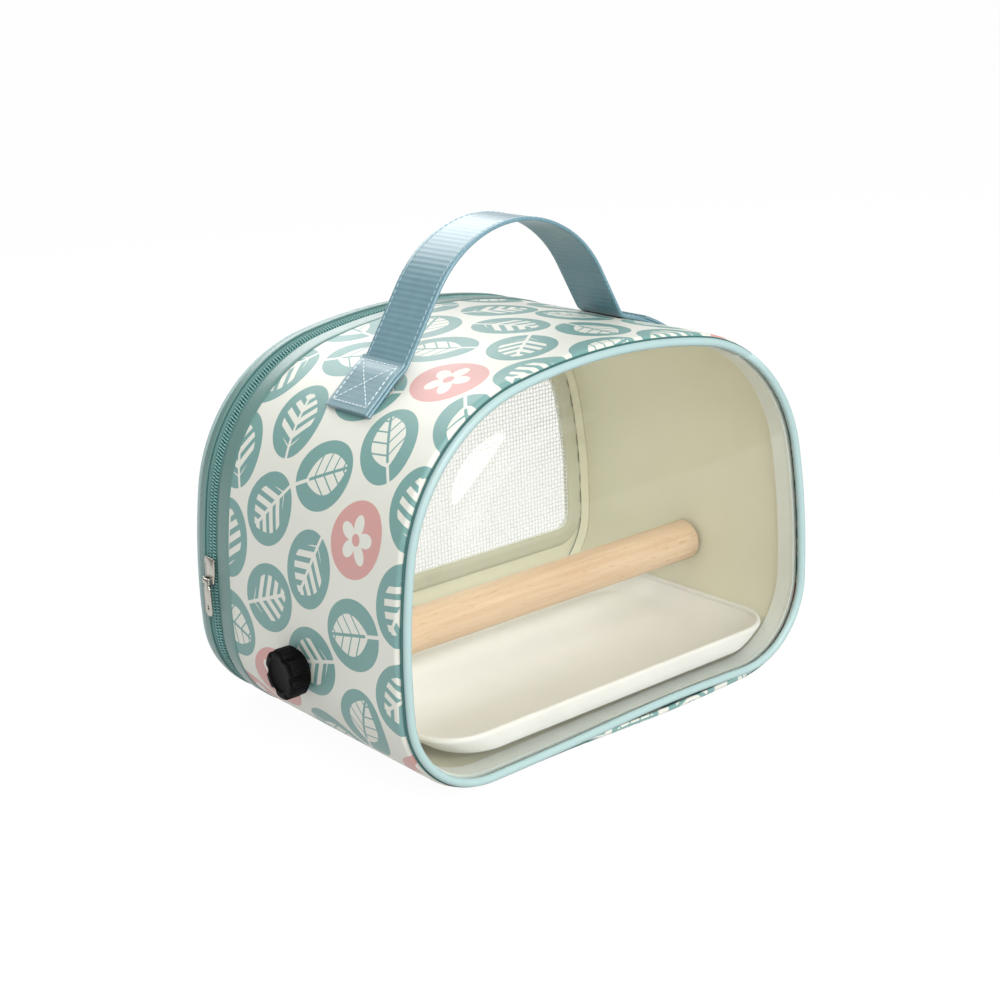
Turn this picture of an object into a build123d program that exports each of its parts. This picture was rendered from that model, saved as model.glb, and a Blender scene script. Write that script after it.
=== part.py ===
"""Bird travel carrier: a soft loaf-shaped carrier with a clear front, a zipped mesh door,
a webbing handle, a screwed-in perch and a loose tray.

Frame: millimetres, +Z up, X across the front, the clear front faces -Y and the door +Y.
The origin is the middle of the footprint, on the surface that the carrier stands on.
Insets are measured inwards from the outer skin, square to it.
"""
import math
import os
from build123d import *

os.makedirs("parts", exist_ok=True)

# --- the loaf outline: a flat base, then tangent arcs up each side and over the roof
BODY_WIDTH = 240.0
BODY_HEIGHT = 175.0
OVERALL_DEPTH = 160.8
WIDEST_HEIGHT = 53.0
BASE_CORNER_RADIUS = 43.2
SIDE_RADIUS = 310.0
SHOULDER_RADIUS = 78.0
ROOF_RADIUS = 273.0

# --- the wall: printed cover, stiffening board, lining
COVER_THICK = 0.9
BOARD_THICK = 2.4
LINING_THICK = 0.8
FLOOR_BOARD_WIDTH = 150.0
COVER_ROLL_RADIUS = 2.8

# --- the front seam: piping, clear window, bound seam allowance
FRONT_PIPE_RADIUS = 2.4
FRONT_PIPE_INSET = 1.2
PIPE_TAPE_THICK = 0.6
WINDOW_THICK = 0.8
SEAM_ALLOWANCE = 10.0
BINDING_THICK = 1.0
BINDING_END_THICK = 0.8

# --- the zip: plain band, two tapes, two coil rows
BAND_WIDTH = 9.2
ZIP_WIDTH = 12.0
TAPE_THICK = 0.6
TAPE_INSET = 1.0
COIL_ROW_WIDTH = 1.2
COIL_ROW_THICK = 2.0
COIL_INSET = 0.2
COIL_GAP = 1.0
ZIP_END_X = 84.0

# --- the door at the back
DOOR_PIPE_RADIUS = 2.2
DOOR_PIPE_INSET = 0.4
RIM_WIDTH = 4.3
RIM_LIP_REACH = 6.0
DOOR_PANEL_THICK = 1.6
MESH_THICK = 0.6
MESH_INSET = 15.0
MESH_SILL_HEIGHT = 34.0
MESH_CORNER_RADIUS = 8.0
MESH_MARGIN = 6.0
MESH_BINDING_WIDTH = 8.5
MESH_BINDING_THICK = 0.7
TONGUE_HALF_WIDTH = 80.0

# --- the handle of webbing
STRAP_WIDTH = 30.0
STRAP_THICK = 1.6
STRAP_Y = -10.8
HANDLE_CREST = 223.4
HANDLE_CREST_X = -6.5
HANDLE_ARC_RADIUS = 53.0
HANDLE_LEFT_SLOPE = 57.0
HANDLE_RIGHT_SLOPE = 62.0
HANDLE_PIVOT_HEIGHT = 164.5
HANDLE_ROOT_RISE = 1.4
STRAP_END_X = 91.0

# --- the perch and its screw knobs
PERCH_RADIUS = 10.0
PERCH_Y = -2.8
PERCH_HEIGHT = 43.5
PERCH_CHAMFER = 1.0
STUD_RADIUS = 3.0
STUD_REACH = 10.0
STUD_KNOB_DEPTH = 5.5
INSERT_WALL = 0.95
INSERT_LENGTH = 12.0
WASHER_RADIUS = 7.0
WASHER_THICK = 0.8
KNOB_RADIUS = 11.2
KNOB_LENGTH = 8.8
KNOB_CHAMFER = 1.2
KNOB_LOBES = 6
KNOB_NOTCH_RADIUS = 2.8
KNOB_NOTCH_DEPTH = 1.7
KNOB_DISH_RADIUS = 7.2
KNOB_DISH_DEPTH = 0.8
FLANGE_RADIUS = 9.0
FLANGE_THICK = 1.6

# --- the zip slider and its pull
SLIDER_HEIGHT = 71.0
SLIDER_LENGTH = 12.5
SLIDER_WIDTH = 8.4
SLIDER_PLATE_THICK = 1.2
SLIDER_POST_THICK = 0.5
SLIDER_POST_LENGTH = 2.4
SLIDER_FLANGE_THICK = 0.7
SLIDER_NECK = 6.0
LUG_THICK = 0.8
LUG_LENGTH = 2.8
BAR_RADIUS = 0.6
BAR_HEIGHT = 1.5
BAR_FROM_END = 1.9
PULL_EYE_WIDTH = 3.4
PULL_EYE_RADIUS = 1.25
PULL_LENGTH = 17.0
PULL_WIDTH = 5.6
PULL_THICK = 1.0
PULL_POINT = 2.2
PULL_HOLE_RADIUS = 1.1

# --- the loose tray
TRAY_BASE_REACH = 21.0
TRAY_SHIFT = 5.0
TRAY_DEPTH = 111.0
TRAY_HEIGHT = 11.2
TRAY_LIP = 2.0
TRAY_CORNER_RADIUS = 22.0
TRAY_WALL = 2.4
TRAY_DRAFT = 1.5
TRAY_EDGE_RADIUS = 1.1
TRAY_BASE_RADIUS = 3.0

# --- clearances
SLIP = 0.3
THREAD_SLIP = 0.05
SCREW_SLIP = 0.6
TINY = 0.1
TRAY_FRONT_SLIP = 2.3
TRAY_SIDE_SLIP = 1.0
BINDING_SLIP = 0.6
TONGUE_SLIP = 0.5

# --- stations along Y, from the front to the back
FRONT_Y = -OVERALL_DEPTH / 2
REAR_Y = OVERALL_DEPTH / 2
FRONT_PIPE_Y = FRONT_Y + FRONT_PIPE_RADIUS
LIP_Y = FRONT_Y + 2 * FRONT_PIPE_RADIUS
DOOR_PIPE_Y = REAR_Y - DOOR_PIPE_RADIUS
RIM_BACK_Y = REAR_Y - 2 * DOOR_PIPE_RADIUS - TINY
RIM_FRONT_Y = RIM_BACK_Y - RIM_WIDTH
ZIP_FRONT_Y = RIM_FRONT_Y - ZIP_WIDTH
ZIP_Y = (ZIP_FRONT_Y + RIM_FRONT_Y) / 2
BAND_FRONT_Y = ZIP_FRONT_Y - BAND_WIDTH
TONGUE_END_Y = RIM_BACK_Y - TONGUE_SLIP

# --- insets that follow from the wall and the front seam
BOARD_INSET = COVER_THICK
LINING_INSET = BOARD_INSET + BOARD_THICK
WALL_THICK = LINING_INSET + LINING_THICK
PIPE_CENTRE_INSET = FRONT_PIPE_INSET + FRONT_PIPE_RADIUS
PIPE_TAPE_INSET = PIPE_CENTRE_INSET - PIPE_TAPE_THICK / 2
WINDOW_INSET = PIPE_TAPE_INSET + PIPE_TAPE_THICK
SEAM_END_Y = LIP_Y + SEAM_ALLOWANCE
BINDING_END_Y = SEAM_END_Y + BINDING_END_THICK
BINDING_START_Y = LIP_Y + WINDOW_THICK + BINDING_SLIP
DOOR_PIPE_CENTRE_INSET = DOOR_PIPE_INSET + DOOR_PIPE_RADIUS
DOOR_PANEL_INSET = DOOR_PIPE_INSET + 2 * DOOR_PIPE_RADIUS + TINY

# --- centres of the outline's arcs, right half, as (x, z)
SIDE_CENTRE = (BODY_WIDTH / 2 - SIDE_RADIUS, WIDEST_HEIGHT)
ROOF_CENTRE = (0.0, BODY_HEIGHT - ROOF_RADIUS)


def corner_centre(base, radius, inset):
    """Centre of the arc that touches a level base and, from inside, the side arc at an inset."""
    reach = SIDE_RADIUS - inset - radius
    rise = base + radius - SIDE_CENTRE[1]
    return (SIDE_CENTRE[0] + math.sqrt(reach**2 - rise**2), base + radius)


def shoulder_centre():
    """Centre of the arc that touches both the side arc and the roof arc from inside."""
    side_reach = SIDE_RADIUS - SHOULDER_RADIUS
    roof_reach = ROOF_RADIUS - SHOULDER_RADIUS
    dx = ROOF_CENTRE[0] - SIDE_CENTRE[0]
    dz = ROOF_CENTRE[1] - SIDE_CENTRE[1]
    apart = math.hypot(dx, dz)
    along = (apart**2 + side_reach**2 - roof_reach**2) / (2 * apart)
    across = math.sqrt(side_reach**2 - along**2)
    x = SIDE_CENTRE[0] + (along * dx - across * dz) / apart
    z = SIDE_CENTRE[1] + (along * dz + across * dx) / apart
    return (x, z)


def direction(start, end):
    """Angle in degrees of the line from one (x, z) point to another."""
    return math.degrees(math.atan2(end[1] - start[1], end[0] - start[0]))


BASE_CENTRE = corner_centre(0, BASE_CORNER_RADIUS, 0)
MESH_CENTRE = corner_centre(MESH_SILL_HEIGHT, MESH_CORNER_RADIUS, MESH_INSET)
SHOULDER_CENTRE = shoulder_centre()
SIDE_LOW_ANGLE = direction(SIDE_CENTRE, BASE_CENTRE)
SIDE_HIGH_ANGLE = direction(SIDE_CENTRE, SHOULDER_CENTRE)
ROOF_ANGLE = direction(ROOF_CENTRE, SHOULDER_CENTRE)


def station(y):
    """Plane square to Y at the given depth: its x is X, its y is Z."""
    return Plane.XZ.offset(-y)


def outline_edges(corner, corner_radius, inset):
    """A closed outline of tangent arcs above a level base, in order from the middle of the base."""
    corner_x, corner_z = corner
    shoulder_x, shoulder_z = SHOULDER_CENTRE
    side_x, side_z = SIDE_CENTRE
    low = direction(SIDE_CENTRE, corner)
    side_turn = SIDE_HIGH_ANGLE - low
    shoulder_turn = ROOF_ANGLE - SIDE_HIGH_ANGLE
    base = corner_z - corner_radius
    with BuildLine() as outline:
        Line((0, base), (corner_x, base))
        CenterArc((corner_x, corner_z), corner_radius, -90, 90 + low)
        CenterArc((side_x, side_z), SIDE_RADIUS - inset, low, side_turn)
        CenterArc((shoulder_x, shoulder_z), SHOULDER_RADIUS - inset, SIDE_HIGH_ANGLE, shoulder_turn)
        CenterArc(ROOF_CENTRE, ROOF_RADIUS - inset, ROOF_ANGLE, 180 - 2 * ROOF_ANGLE)
        CenterArc((-shoulder_x, shoulder_z), SHOULDER_RADIUS - inset, 180 - ROOF_ANGLE, shoulder_turn)
        CenterArc((-side_x, side_z), SIDE_RADIUS - inset, 180 - SIDE_HIGH_ANGLE, side_turn)
        CenterArc((-corner_x, corner_z), corner_radius, 180 - low, 90 + low)
        Line((-corner_x, base), (0, base))
    return outline.edges()


def loaf_edges(inset):
    """The body's outline at an inset."""
    return outline_edges(BASE_CENTRE, BASE_CORNER_RADIUS - inset, inset)


def loaf(inset, mode=Mode.ADD):
    """The outline at an inset as a filled face in the sketch that is open."""
    make_face(loaf_edges(inset), mode=mode)


def loaf_ring(start_y, end_y, outer_inset, inner_inset, mode=Mode.ADD):
    """A closed band of the wall between two depths and two insets."""
    with BuildSketch(station(start_y)) as section:
        loaf(outer_inset)
        loaf(inner_inset, mode=Mode.SUBTRACT)
    extrude(section.sketch, amount=start_y - end_y, mode=mode)


def loaf_plug(start_y, end_y, inset, mode=Mode.ADD):
    """The filled outline between two depths."""
    with BuildSketch(station(start_y)) as section:
        loaf(inset)
    extrude(section.sketch, amount=start_y - end_y, mode=mode)


def loaf_path(y, inset):
    """The outline as a closed wire at one depth, from the middle of the base."""
    return station(y) * Wire(loaf_edges(inset))


def block(low, high, mode=Mode.ADD):
    """A box between two corners."""
    size = [b - a for a, b in zip(low, high)]
    centre = [(a + b) / 2 for a, b in zip(low, high)]
    with Locations(tuple(centre)):
        Box(*size, mode=mode)


def half_width(z, inset):
    """Half the outline's width at a height, at an inset."""
    side_low = SIDE_CENTRE[1] + (SIDE_RADIUS - inset) * math.sin(math.radians(SIDE_LOW_ANGLE))
    side_high = SIDE_CENTRE[1] + (SIDE_RADIUS - inset) * math.sin(math.radians(SIDE_HIGH_ANGLE))
    if z < side_low:
        centre, radius = BASE_CENTRE, BASE_CORNER_RADIUS
    elif z < side_high:
        centre, radius = SIDE_CENTRE, SIDE_RADIUS
    else:
        centre, radius = SHOULDER_CENTRE, SHOULDER_RADIUS
    return centre[0] + math.sqrt((radius - inset) ** 2 - (z - centre[1]) ** 2)


def narrowest(z, reach, inset):
    """Least half width of the outline within a reach above and below a height."""
    return min(half_width(z - reach, inset), half_width(z + reach, inset))


def save(part, name):
    """Label a finished piece and write it."""
    part.label = name
    export_step(part, f"parts/{name}.step")


# --- heights and reaches that follow from the outline
TONGUE_TOP = WALL_THICK + 2.0
PERCH_HALF_LENGTH = narrowest(PERCH_HEIGHT, PERCH_RADIUS, WALL_THICK) - SLIP
KNOB_SEAT_X = half_width(WIDEST_HEIGHT, 0) + TINY
KNOB_START_X = KNOB_SEAT_X + FLANGE_THICK + TINY
KNOB_END_X = KNOB_START_X + KNOB_LENGTH
TRAY_BASE_HALF_WIDTH = BASE_CENTRE[0] + TRAY_BASE_REACH - TRAY_SHIFT
CORNER_DROP = math.sqrt((BASE_CORNER_RADIUS - WALL_THICK) ** 2 - TRAY_BASE_REACH**2)
TRAY_BASE_Z = BASE_CORNER_RADIUS - CORNER_DROP + SLIP
TRAY_RIM_Z = TRAY_BASE_Z + TRAY_HEIGHT
TRAY_SHOULDER_Z = TRAY_RIM_Z - TRAY_LIP
TRAY_RIM_HALF_WIDTH = half_width(TRAY_SHOULDER_Z, WALL_THICK) - TRAY_SIDE_SLIP - TRAY_SHIFT
TRAY_FRONT_Y = LIP_Y + WINDOW_THICK + TRAY_FRONT_SLIP


def tongue(inset_low, inset_high, start_y):
    """The stretch of floor that runs back under the door, as far as the door's piping."""
    with BuildSketch(station(start_y)) as section:
        loaf(inset_low)
        loaf(inset_high, mode=Mode.SUBTRACT)
        with Locations((0, TONGUE_TOP / 2)):
            Rectangle(2 * TONGUE_HALF_WIDTH, TONGUE_TOP, mode=Mode.INTERSECT)
    extrude(section.sketch, amount=start_y - TONGUE_END_Y)


def stud_holes(radius):
    """Holes through both side walls on the perch's axis."""
    with Locations(Plane(origin=(0, PERCH_Y, PERCH_HEIGHT), z_dir=(1, 0, 0))):
        Cylinder(radius, BODY_WIDTH + 2 * KNOB_LENGTH, mode=Mode.SUBTRACT)


def open_zip_ends():
    """Stop a zip piece short of the floor stretch that carries no zip."""
    block((-ZIP_END_X, BAND_FRONT_Y - 1, -1), (ZIP_END_X, REAR_Y + 1, TONGUE_TOP + 2), mode=Mode.SUBTRACT)


# ------------------------------------------------------------------ walls
with BuildPart() as cavity:
    loaf_plug(LIP_Y + COVER_THICK, BAND_FRONT_Y, COVER_THICK)
    fillet(cavity.faces().sort_by(Axis.Y)[0].edges(), radius=COVER_ROLL_RADIUS - COVER_THICK)

with BuildPart() as wall_cover:
    loaf_plug(LIP_Y, BAND_FRONT_Y, 0)
    fillet(wall_cover.faces().sort_by(Axis.Y)[0].edges(), radius=COVER_ROLL_RADIUS)
    add(cavity.part, mode=Mode.SUBTRACT)
    loaf_plug(LIP_Y, LIP_Y + COVER_THICK, PIPE_TAPE_INSET, mode=Mode.SUBTRACT)
    loaf_ring(LIP_Y, SEAM_END_Y, PIPE_TAPE_INSET - COVER_THICK, PIPE_TAPE_INSET)
    tongue(0, COVER_THICK, BAND_FRONT_Y)
    stud_holes(STUD_RADIUS + SCREW_SLIP)
save(wall_cover.part, "wall_cover")

with BuildPart() as wall_board:
    loaf_ring(BINDING_END_Y, ZIP_FRONT_Y - COVER_THICK, BOARD_INSET, LINING_INSET)
    block(
        (-FLOOR_BOARD_WIDTH / 2 - TINY, FRONT_Y, 0),
        (FLOOR_BOARD_WIDTH / 2 + TINY, REAR_Y, TONGUE_TOP),
        mode=Mode.SUBTRACT,
    )
    stud_holes(STUD_RADIUS + SCREW_SLIP)
save(wall_board.part, "wall_board")

with BuildPart() as floor_board:
    with BuildSketch(station(BINDING_END_Y)) as section:
        loaf(BOARD_INSET)
        loaf(LINING_INSET, mode=Mode.SUBTRACT)
        with Locations((0, TONGUE_TOP / 2)):
            Rectangle(FLOOR_BOARD_WIDTH, TONGUE_TOP, mode=Mode.INTERSECT)
    extrude(section.sketch, amount=BINDING_END_Y - TONGUE_END_Y + COVER_THICK)
save(floor_board.part, "floor_board")

with BuildPart() as wall_lining:
    loaf_ring(BINDING_END_Y, ZIP_FRONT_Y - COVER_THICK, LINING_INSET, WALL_THICK)
    tongue(LINING_INSET, WALL_THICK, ZIP_FRONT_Y - COVER_THICK)
    stud_holes(STUD_RADIUS + SCREW_SLIP)
save(wall_lining.part, "wall_lining")

# ------------------------------------------------------------- front seam
with BuildPart() as front_piping:
    with BuildSketch(Plane(origin=(0, FRONT_PIPE_Y, PIPE_CENTRE_INSET), z_dir=(1, 0, 0))) as cord:
        Circle(FRONT_PIPE_RADIUS)
    sweep(cord.sketch, path=loaf_path(FRONT_PIPE_Y, PIPE_CENTRE_INSET))
    loaf_ring(FRONT_PIPE_Y, SEAM_END_Y, PIPE_TAPE_INSET, WINDOW_INSET)
save(front_piping.part, "front_piping")

with BuildPart() as front_window:
    loaf_plug(LIP_Y, LIP_Y + WINDOW_THICK, WINDOW_INSET)
    loaf_ring(LIP_Y, SEAM_END_Y, WINDOW_INSET, WINDOW_INSET + WINDOW_THICK)
save(front_window.part, "front_window")

with BuildPart() as front_binding:
    seam_outer = PIPE_TAPE_INSET - COVER_THICK
    seam_inner = WINDOW_INSET + WINDOW_THICK
    loaf_ring(BINDING_START_Y, BINDING_END_Y, seam_outer - BINDING_THICK, seam_outer)
    loaf_ring(BINDING_START_Y, BINDING_END_Y, seam_inner, seam_inner + BINDING_THICK)
    loaf_ring(SEAM_END_Y, BINDING_END_Y, seam_outer, seam_inner)
save(front_binding.part, "front_binding")

# ------------------------------------------------------------ body-side zip
with BuildPart() as zip_band:
    loaf_ring(BAND_FRONT_Y, ZIP_FRONT_Y, 0, COVER_THICK)
    loaf_ring(ZIP_FRONT_Y - COVER_THICK, ZIP_FRONT_Y, COVER_THICK, WALL_THICK)
    block((-TONGUE_HALF_WIDTH, FRONT_Y, -1), (TONGUE_HALF_WIDTH, REAR_Y, TONGUE_TOP), mode=Mode.SUBTRACT)
save(zip_band.part, "zip_band")

with BuildPart() as zip_tape_body:
    loaf_ring(ZIP_FRONT_Y, ZIP_Y - COIL_GAP / 2 - COIL_ROW_WIDTH, TAPE_INSET, TAPE_INSET + TAPE_THICK)
    open_zip_ends()
save(zip_tape_body.part, "zip_tape_body")

with BuildPart() as zip_coil_body:
    loaf_ring(
        ZIP_Y - COIL_GAP / 2 - COIL_ROW_WIDTH,
        ZIP_Y - COIL_GAP / 2,
        COIL_INSET,
        COIL_INSET + COIL_ROW_THICK,
    )
    open_zip_ends()
save(zip_coil_body.part, "zip_coil_body")

# ------------------------------------------------------------------- door
with BuildPart() as zip_coil_door:
    loaf_ring(
        ZIP_Y + COIL_GAP / 2,
        ZIP_Y + COIL_GAP / 2 + COIL_ROW_WIDTH,
        COIL_INSET,
        COIL_INSET + COIL_ROW_THICK,
    )
    open_zip_ends()
save(zip_coil_door.part, "zip_coil_door")

with BuildPart() as zip_tape_door:
    loaf_ring(ZIP_Y + COIL_GAP / 2 + COIL_ROW_WIDTH, RIM_FRONT_Y, TAPE_INSET, TAPE_INSET + TAPE_THICK)
    open_zip_ends()
save(zip_tape_door.part, "zip_tape_door")

with BuildPart() as door_rim:
    loaf_ring(RIM_FRONT_Y, RIM_BACK_Y, 0, COVER_THICK)
    loaf_ring(RIM_FRONT_Y, RIM_FRONT_Y + COVER_THICK, COVER_THICK, WALL_THICK)
    loaf_ring(RIM_BACK_Y - COVER_THICK, RIM_BACK_Y, COVER_THICK, RIM_LIP_REACH)
    open_zip_ends()
save(door_rim.part, "door_rim")

with BuildPart() as door_piping:
    with BuildSketch(Plane(origin=(0, DOOR_PIPE_Y, DOOR_PIPE_CENTRE_INSET), z_dir=(1, 0, 0))) as cord:
        Circle(DOOR_PIPE_RADIUS)
    sweep(cord.sketch, path=loaf_path(DOOR_PIPE_Y, DOOR_PIPE_CENTRE_INSET))
save(door_piping.part, "door_piping")


def mesh_window(margin, mode=Mode.ADD):
    """The mesh opening, grown by a margin, as a filled face in the sketch that is open."""
    make_face(outline_edges(MESH_CENTRE, MESH_CORNER_RADIUS + margin, MESH_INSET - margin), mode=mode)


def mesh_layer(start_y, thick, outer_margin, inner_margin=None):
    """A flat layer round the mesh opening, or right across it."""
    with BuildSketch(station(start_y)) as layer:
        mesh_window(outer_margin)
        if inner_margin is not None:
            mesh_window(inner_margin, mode=Mode.SUBTRACT)
    extrude(layer.sketch, amount=-thick)


with BuildPart() as door_panel:
    with BuildSketch(station(RIM_BACK_Y)) as sheet:
        loaf(DOOR_PANEL_INSET)
        mesh_window(0, mode=Mode.SUBTRACT)
    extrude(sheet.sketch, amount=-DOOR_PANEL_THICK)
save(door_panel.part, "door_panel")

with BuildPart() as door_mesh:
    mesh_layer(RIM_BACK_Y - MESH_THICK, MESH_THICK, MESH_MARGIN)
save(door_mesh.part, "door_mesh")

with BuildPart() as mesh_binding_inner:
    mesh_layer(RIM_BACK_Y - MESH_THICK - MESH_BINDING_THICK, MESH_BINDING_THICK, MESH_BINDING_WIDTH, 0)
save(mesh_binding_inner.part, "mesh_binding_inner")

with BuildPart() as mesh_binding_outer:
    mesh_layer(RIM_BACK_Y + DOOR_PANEL_THICK, MESH_BINDING_THICK, MESH_BINDING_WIDTH, 0)
save(mesh_binding_outer.part, "mesh_binding_outer")

# ----------------------------------------------------------------- handle
ARC_CENTRE_Z = HANDLE_CREST - STRAP_THICK / 2 - HANDLE_ARC_RADIUS
STRAP_FRONT_Y = STRAP_Y - STRAP_WIDTH / 2


def leg_top(side, slope):
    """Where a straight leg leaves the crest arc; side is -1 left or 1 right."""
    angle = math.radians(slope)
    x = HANDLE_CREST_X + side * HANDLE_ARC_RADIUS * math.sin(angle)
    return (x, ARC_CENTRE_Z + HANDLE_ARC_RADIUS * math.cos(angle))


def fall(start, step, centre, radius):
    """Where a line from a point above an arc, along a unit step, first meets the arc's circle."""
    rise_x, rise_z = start[0] - centre[0], start[1] - centre[1]
    near = -(rise_x * step[0] + rise_z * step[1])
    run = near - math.sqrt(near**2 - rise_x**2 - rise_z**2 + radius**2)
    return (start[0] + run * step[0], start[1] + run * step[1])


def leg_foot(side, slope):
    """Where a straight leg meets the strap that lies on the roof or on the shoulder."""
    angle = math.radians(slope)
    top, step = leg_top(side, slope), (side * math.cos(angle), -math.sin(angle))
    foot = fall(top, step, ROOF_CENTRE, ROOF_RADIUS + STRAP_THICK / 2)
    if direction(ROOF_CENTRE, (abs(foot[0]), foot[1])) < ROOF_ANGLE:
        shoulder = (side * SHOULDER_CENTRE[0], SHOULDER_CENTRE[1])
        foot = fall(top, step, shoulder, SHOULDER_RADIUS + STRAP_THICK / 2)
    return foot


LEFT_FOOT = leg_foot(-1, HANDLE_LEFT_SLOPE)
RIGHT_FOOT = leg_foot(1, HANDLE_RIGHT_SLOPE)
ROOT_EDGE_Z = max(HANDLE_PIVOT_HEIGHT, LEFT_FOOT[1], RIGHT_FOOT[1]) + HANDLE_ROOT_RISE
HANDLE_ROOT_RADIUS = math.hypot(STRAP_WIDTH / 2, ROOT_EDGE_Z - HANDLE_PIVOT_HEIGHT)
HANDLE_CUT_Z = HANDLE_PIVOT_HEIGHT + HANDLE_ROOT_RADIUS + SLIP


def strap_arch(start_x, start_z, end_x):
    """The strap's arch between two distances from the middle, above a height."""
    with BuildSketch(station(STRAP_FRONT_Y)) as arch:
        with BuildLine() as route:
            Line(LEFT_FOOT, leg_top(-1, HANDLE_LEFT_SLOPE))
            CenterArc(
                (HANDLE_CREST_X, ARC_CENTRE_Z),
                HANDLE_ARC_RADIUS,
                90 + HANDLE_LEFT_SLOPE,
                -HANDLE_LEFT_SLOPE - HANDLE_RIGHT_SLOPE,
            )
            Line(leg_top(1, HANDLE_RIGHT_SLOPE), RIGHT_FOOT)
        trace(route.line, STRAP_THICK)
        with Locations(((start_x + end_x) / 2, start_z + HANDLE_CREST)):
            Rectangle(end_x - start_x, 2 * HANDLE_CREST, mode=Mode.INTERSECT)
    extrude(arch.sketch, amount=-STRAP_WIDTH)


# what stands still about the pivot: all below it, and a round end above it
with BuildPart() as root_zone:
    block((-BODY_WIDTH, STRAP_FRONT_Y, 0), (BODY_WIDTH, STRAP_FRONT_Y + STRAP_WIDTH, HANDLE_PIVOT_HEIGHT))
    with Locations(Plane(origin=(0, STRAP_Y, HANDLE_PIVOT_HEIGHT), z_dir=(1, 0, 0))):
        Cylinder(HANDLE_ROOT_RADIUS, 2 * BODY_WIDTH)

with BuildPart() as left_root:
    strap_arch(-BODY_WIDTH, 0, HANDLE_CREST_X)
    add(root_zone.part, mode=Mode.INTERSECT)

with BuildPart() as right_root:
    strap_arch(HANDLE_CREST_X, 0, BODY_WIDTH)
    add(root_zone.part, mode=Mode.INTERSECT)


def lying_strap(side, foot):
    """The stretch of strap that lies on the roof and shoulder, outwards from a leg's foot."""
    inner_x, outer_x = abs(foot[0]), STRAP_END_X
    with BuildSketch(station(STRAP_FRONT_Y)) as lying:
        loaf(-STRAP_THICK)
        loaf(0, mode=Mode.SUBTRACT)
        with Locations((side * (inner_x + outer_x) / 2, BODY_HEIGHT)):
            Rectangle(outer_x - inner_x, BODY_HEIGHT, mode=Mode.INTERSECT)
    extrude(lying.sketch, amount=-STRAP_WIDTH)


with BuildPart() as strap_end_left:
    lying_strap(-1, LEFT_FOOT)
    add(left_root.part)
save(strap_end_left.part, "strap_end_left")

with BuildPart() as strap_end_right:
    lying_strap(1, RIGHT_FOOT)
    add(right_root.part)
save(strap_end_right.part, "strap_end_right")

with BuildPart() as handle_strap:
    strap_arch(-BODY_WIDTH, HANDLE_CUT_Z, BODY_WIDTH)
save(handle_strap.part, "handle_strap")

# ------------------------------------------------------- perch and knobs
INSERT_RADIUS = STUD_RADIUS + THREAD_SLIP + INSERT_WALL


def perch_plane(x, side):
    """Plane square to the perch's axis, facing away from the carrier's middle."""
    return Plane(origin=(side * x, PERCH_Y, PERCH_HEIGHT), x_dir=(0, 1, 0), z_dir=(side, 0, 0))


with BuildPart() as perch:
    with BuildSketch(perch_plane(-PERCH_HALF_LENGTH, 1)):
        Circle(PERCH_RADIUS)
    extrude(amount=2 * PERCH_HALF_LENGTH)
    chamfer(perch.edges().filter_by(GeomType.CIRCLE), length=PERCH_CHAMFER)
    for side in (-1, 1):
        with BuildSketch(perch_plane(PERCH_HALF_LENGTH, side)) as socket:
            Circle(INSERT_RADIUS)
        extrude(socket.sketch, amount=-INSERT_LENGTH, mode=Mode.SUBTRACT)
save(perch.part, "perch")


def disc(x, side, radius, thick, bore):
    """A washer on the perch's axis that starts at x and goes outwards."""
    with BuildSketch(perch_plane(x, side)) as face:
        Circle(radius)
        Circle(bore, mode=Mode.SUBTRACT)
    extrude(face.sketch, amount=thick)


def screw_knob(side):
    """A lobed knob with a dished face and a socket for its stud."""
    with BuildPart() as knob:
        with BuildSketch(perch_plane(KNOB_START_X, side)) as grip:
            Circle(KNOB_RADIUS)
            with PolarLocations(KNOB_RADIUS + KNOB_NOTCH_RADIUS - KNOB_NOTCH_DEPTH, KNOB_LOBES):
                Circle(KNOB_NOTCH_RADIUS, mode=Mode.SUBTRACT)
        extrude(grip.sketch, amount=KNOB_LENGTH)
        outer_face = knob.faces().sort_by(Axis.X)[-1 if side > 0 else 0]
        chamfer(outer_face.edges(), length=KNOB_CHAMFER)
        with BuildSketch(perch_plane(KNOB_END_X, side)) as dish:
            Circle(KNOB_DISH_RADIUS)
        extrude(dish.sketch, amount=-KNOB_DISH_DEPTH, mode=Mode.SUBTRACT)
        with BuildSketch(perch_plane(KNOB_START_X, side)) as socket:
            Circle(STUD_RADIUS)
        extrude(socket.sketch, amount=STUD_KNOB_DEPTH, mode=Mode.SUBTRACT)
    return knob.part


def knob_stud(side):
    """The knob's screw, from its socket to the insert in the perch's end."""
    start = PERCH_HALF_LENGTH - STUD_REACH
    with BuildPart() as stud:
        with BuildSketch(perch_plane(start, side)):
            Circle(STUD_RADIUS)
        extrude(amount=KNOB_START_X + STUD_KNOB_DEPTH - start)
    return stud.part


for side, hand in ((-1, "left"), (1, "right")):
    with BuildPart() as insert:
        disc(PERCH_HALF_LENGTH - INSERT_LENGTH, side, INSERT_RADIUS, INSERT_LENGTH, STUD_RADIUS + THREAD_SLIP)
    save(insert.part, f"perch_insert_{hand}")

    with BuildPart() as washer:
        disc(PERCH_HALF_LENGTH, side, WASHER_RADIUS, WASHER_THICK, STUD_RADIUS + SLIP)
    save(washer.part, f"perch_washer_{hand}")

    with BuildPart() as flange:
        disc(KNOB_SEAT_X, side, FLANGE_RADIUS, FLANGE_THICK, STUD_RADIUS + SLIP)
    save(flange.part, f"knob_flange_{hand}")

    save(knob_stud(side), f"knob_stud_{hand}")
    save(screw_knob(side), f"knob_{hand}")

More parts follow.
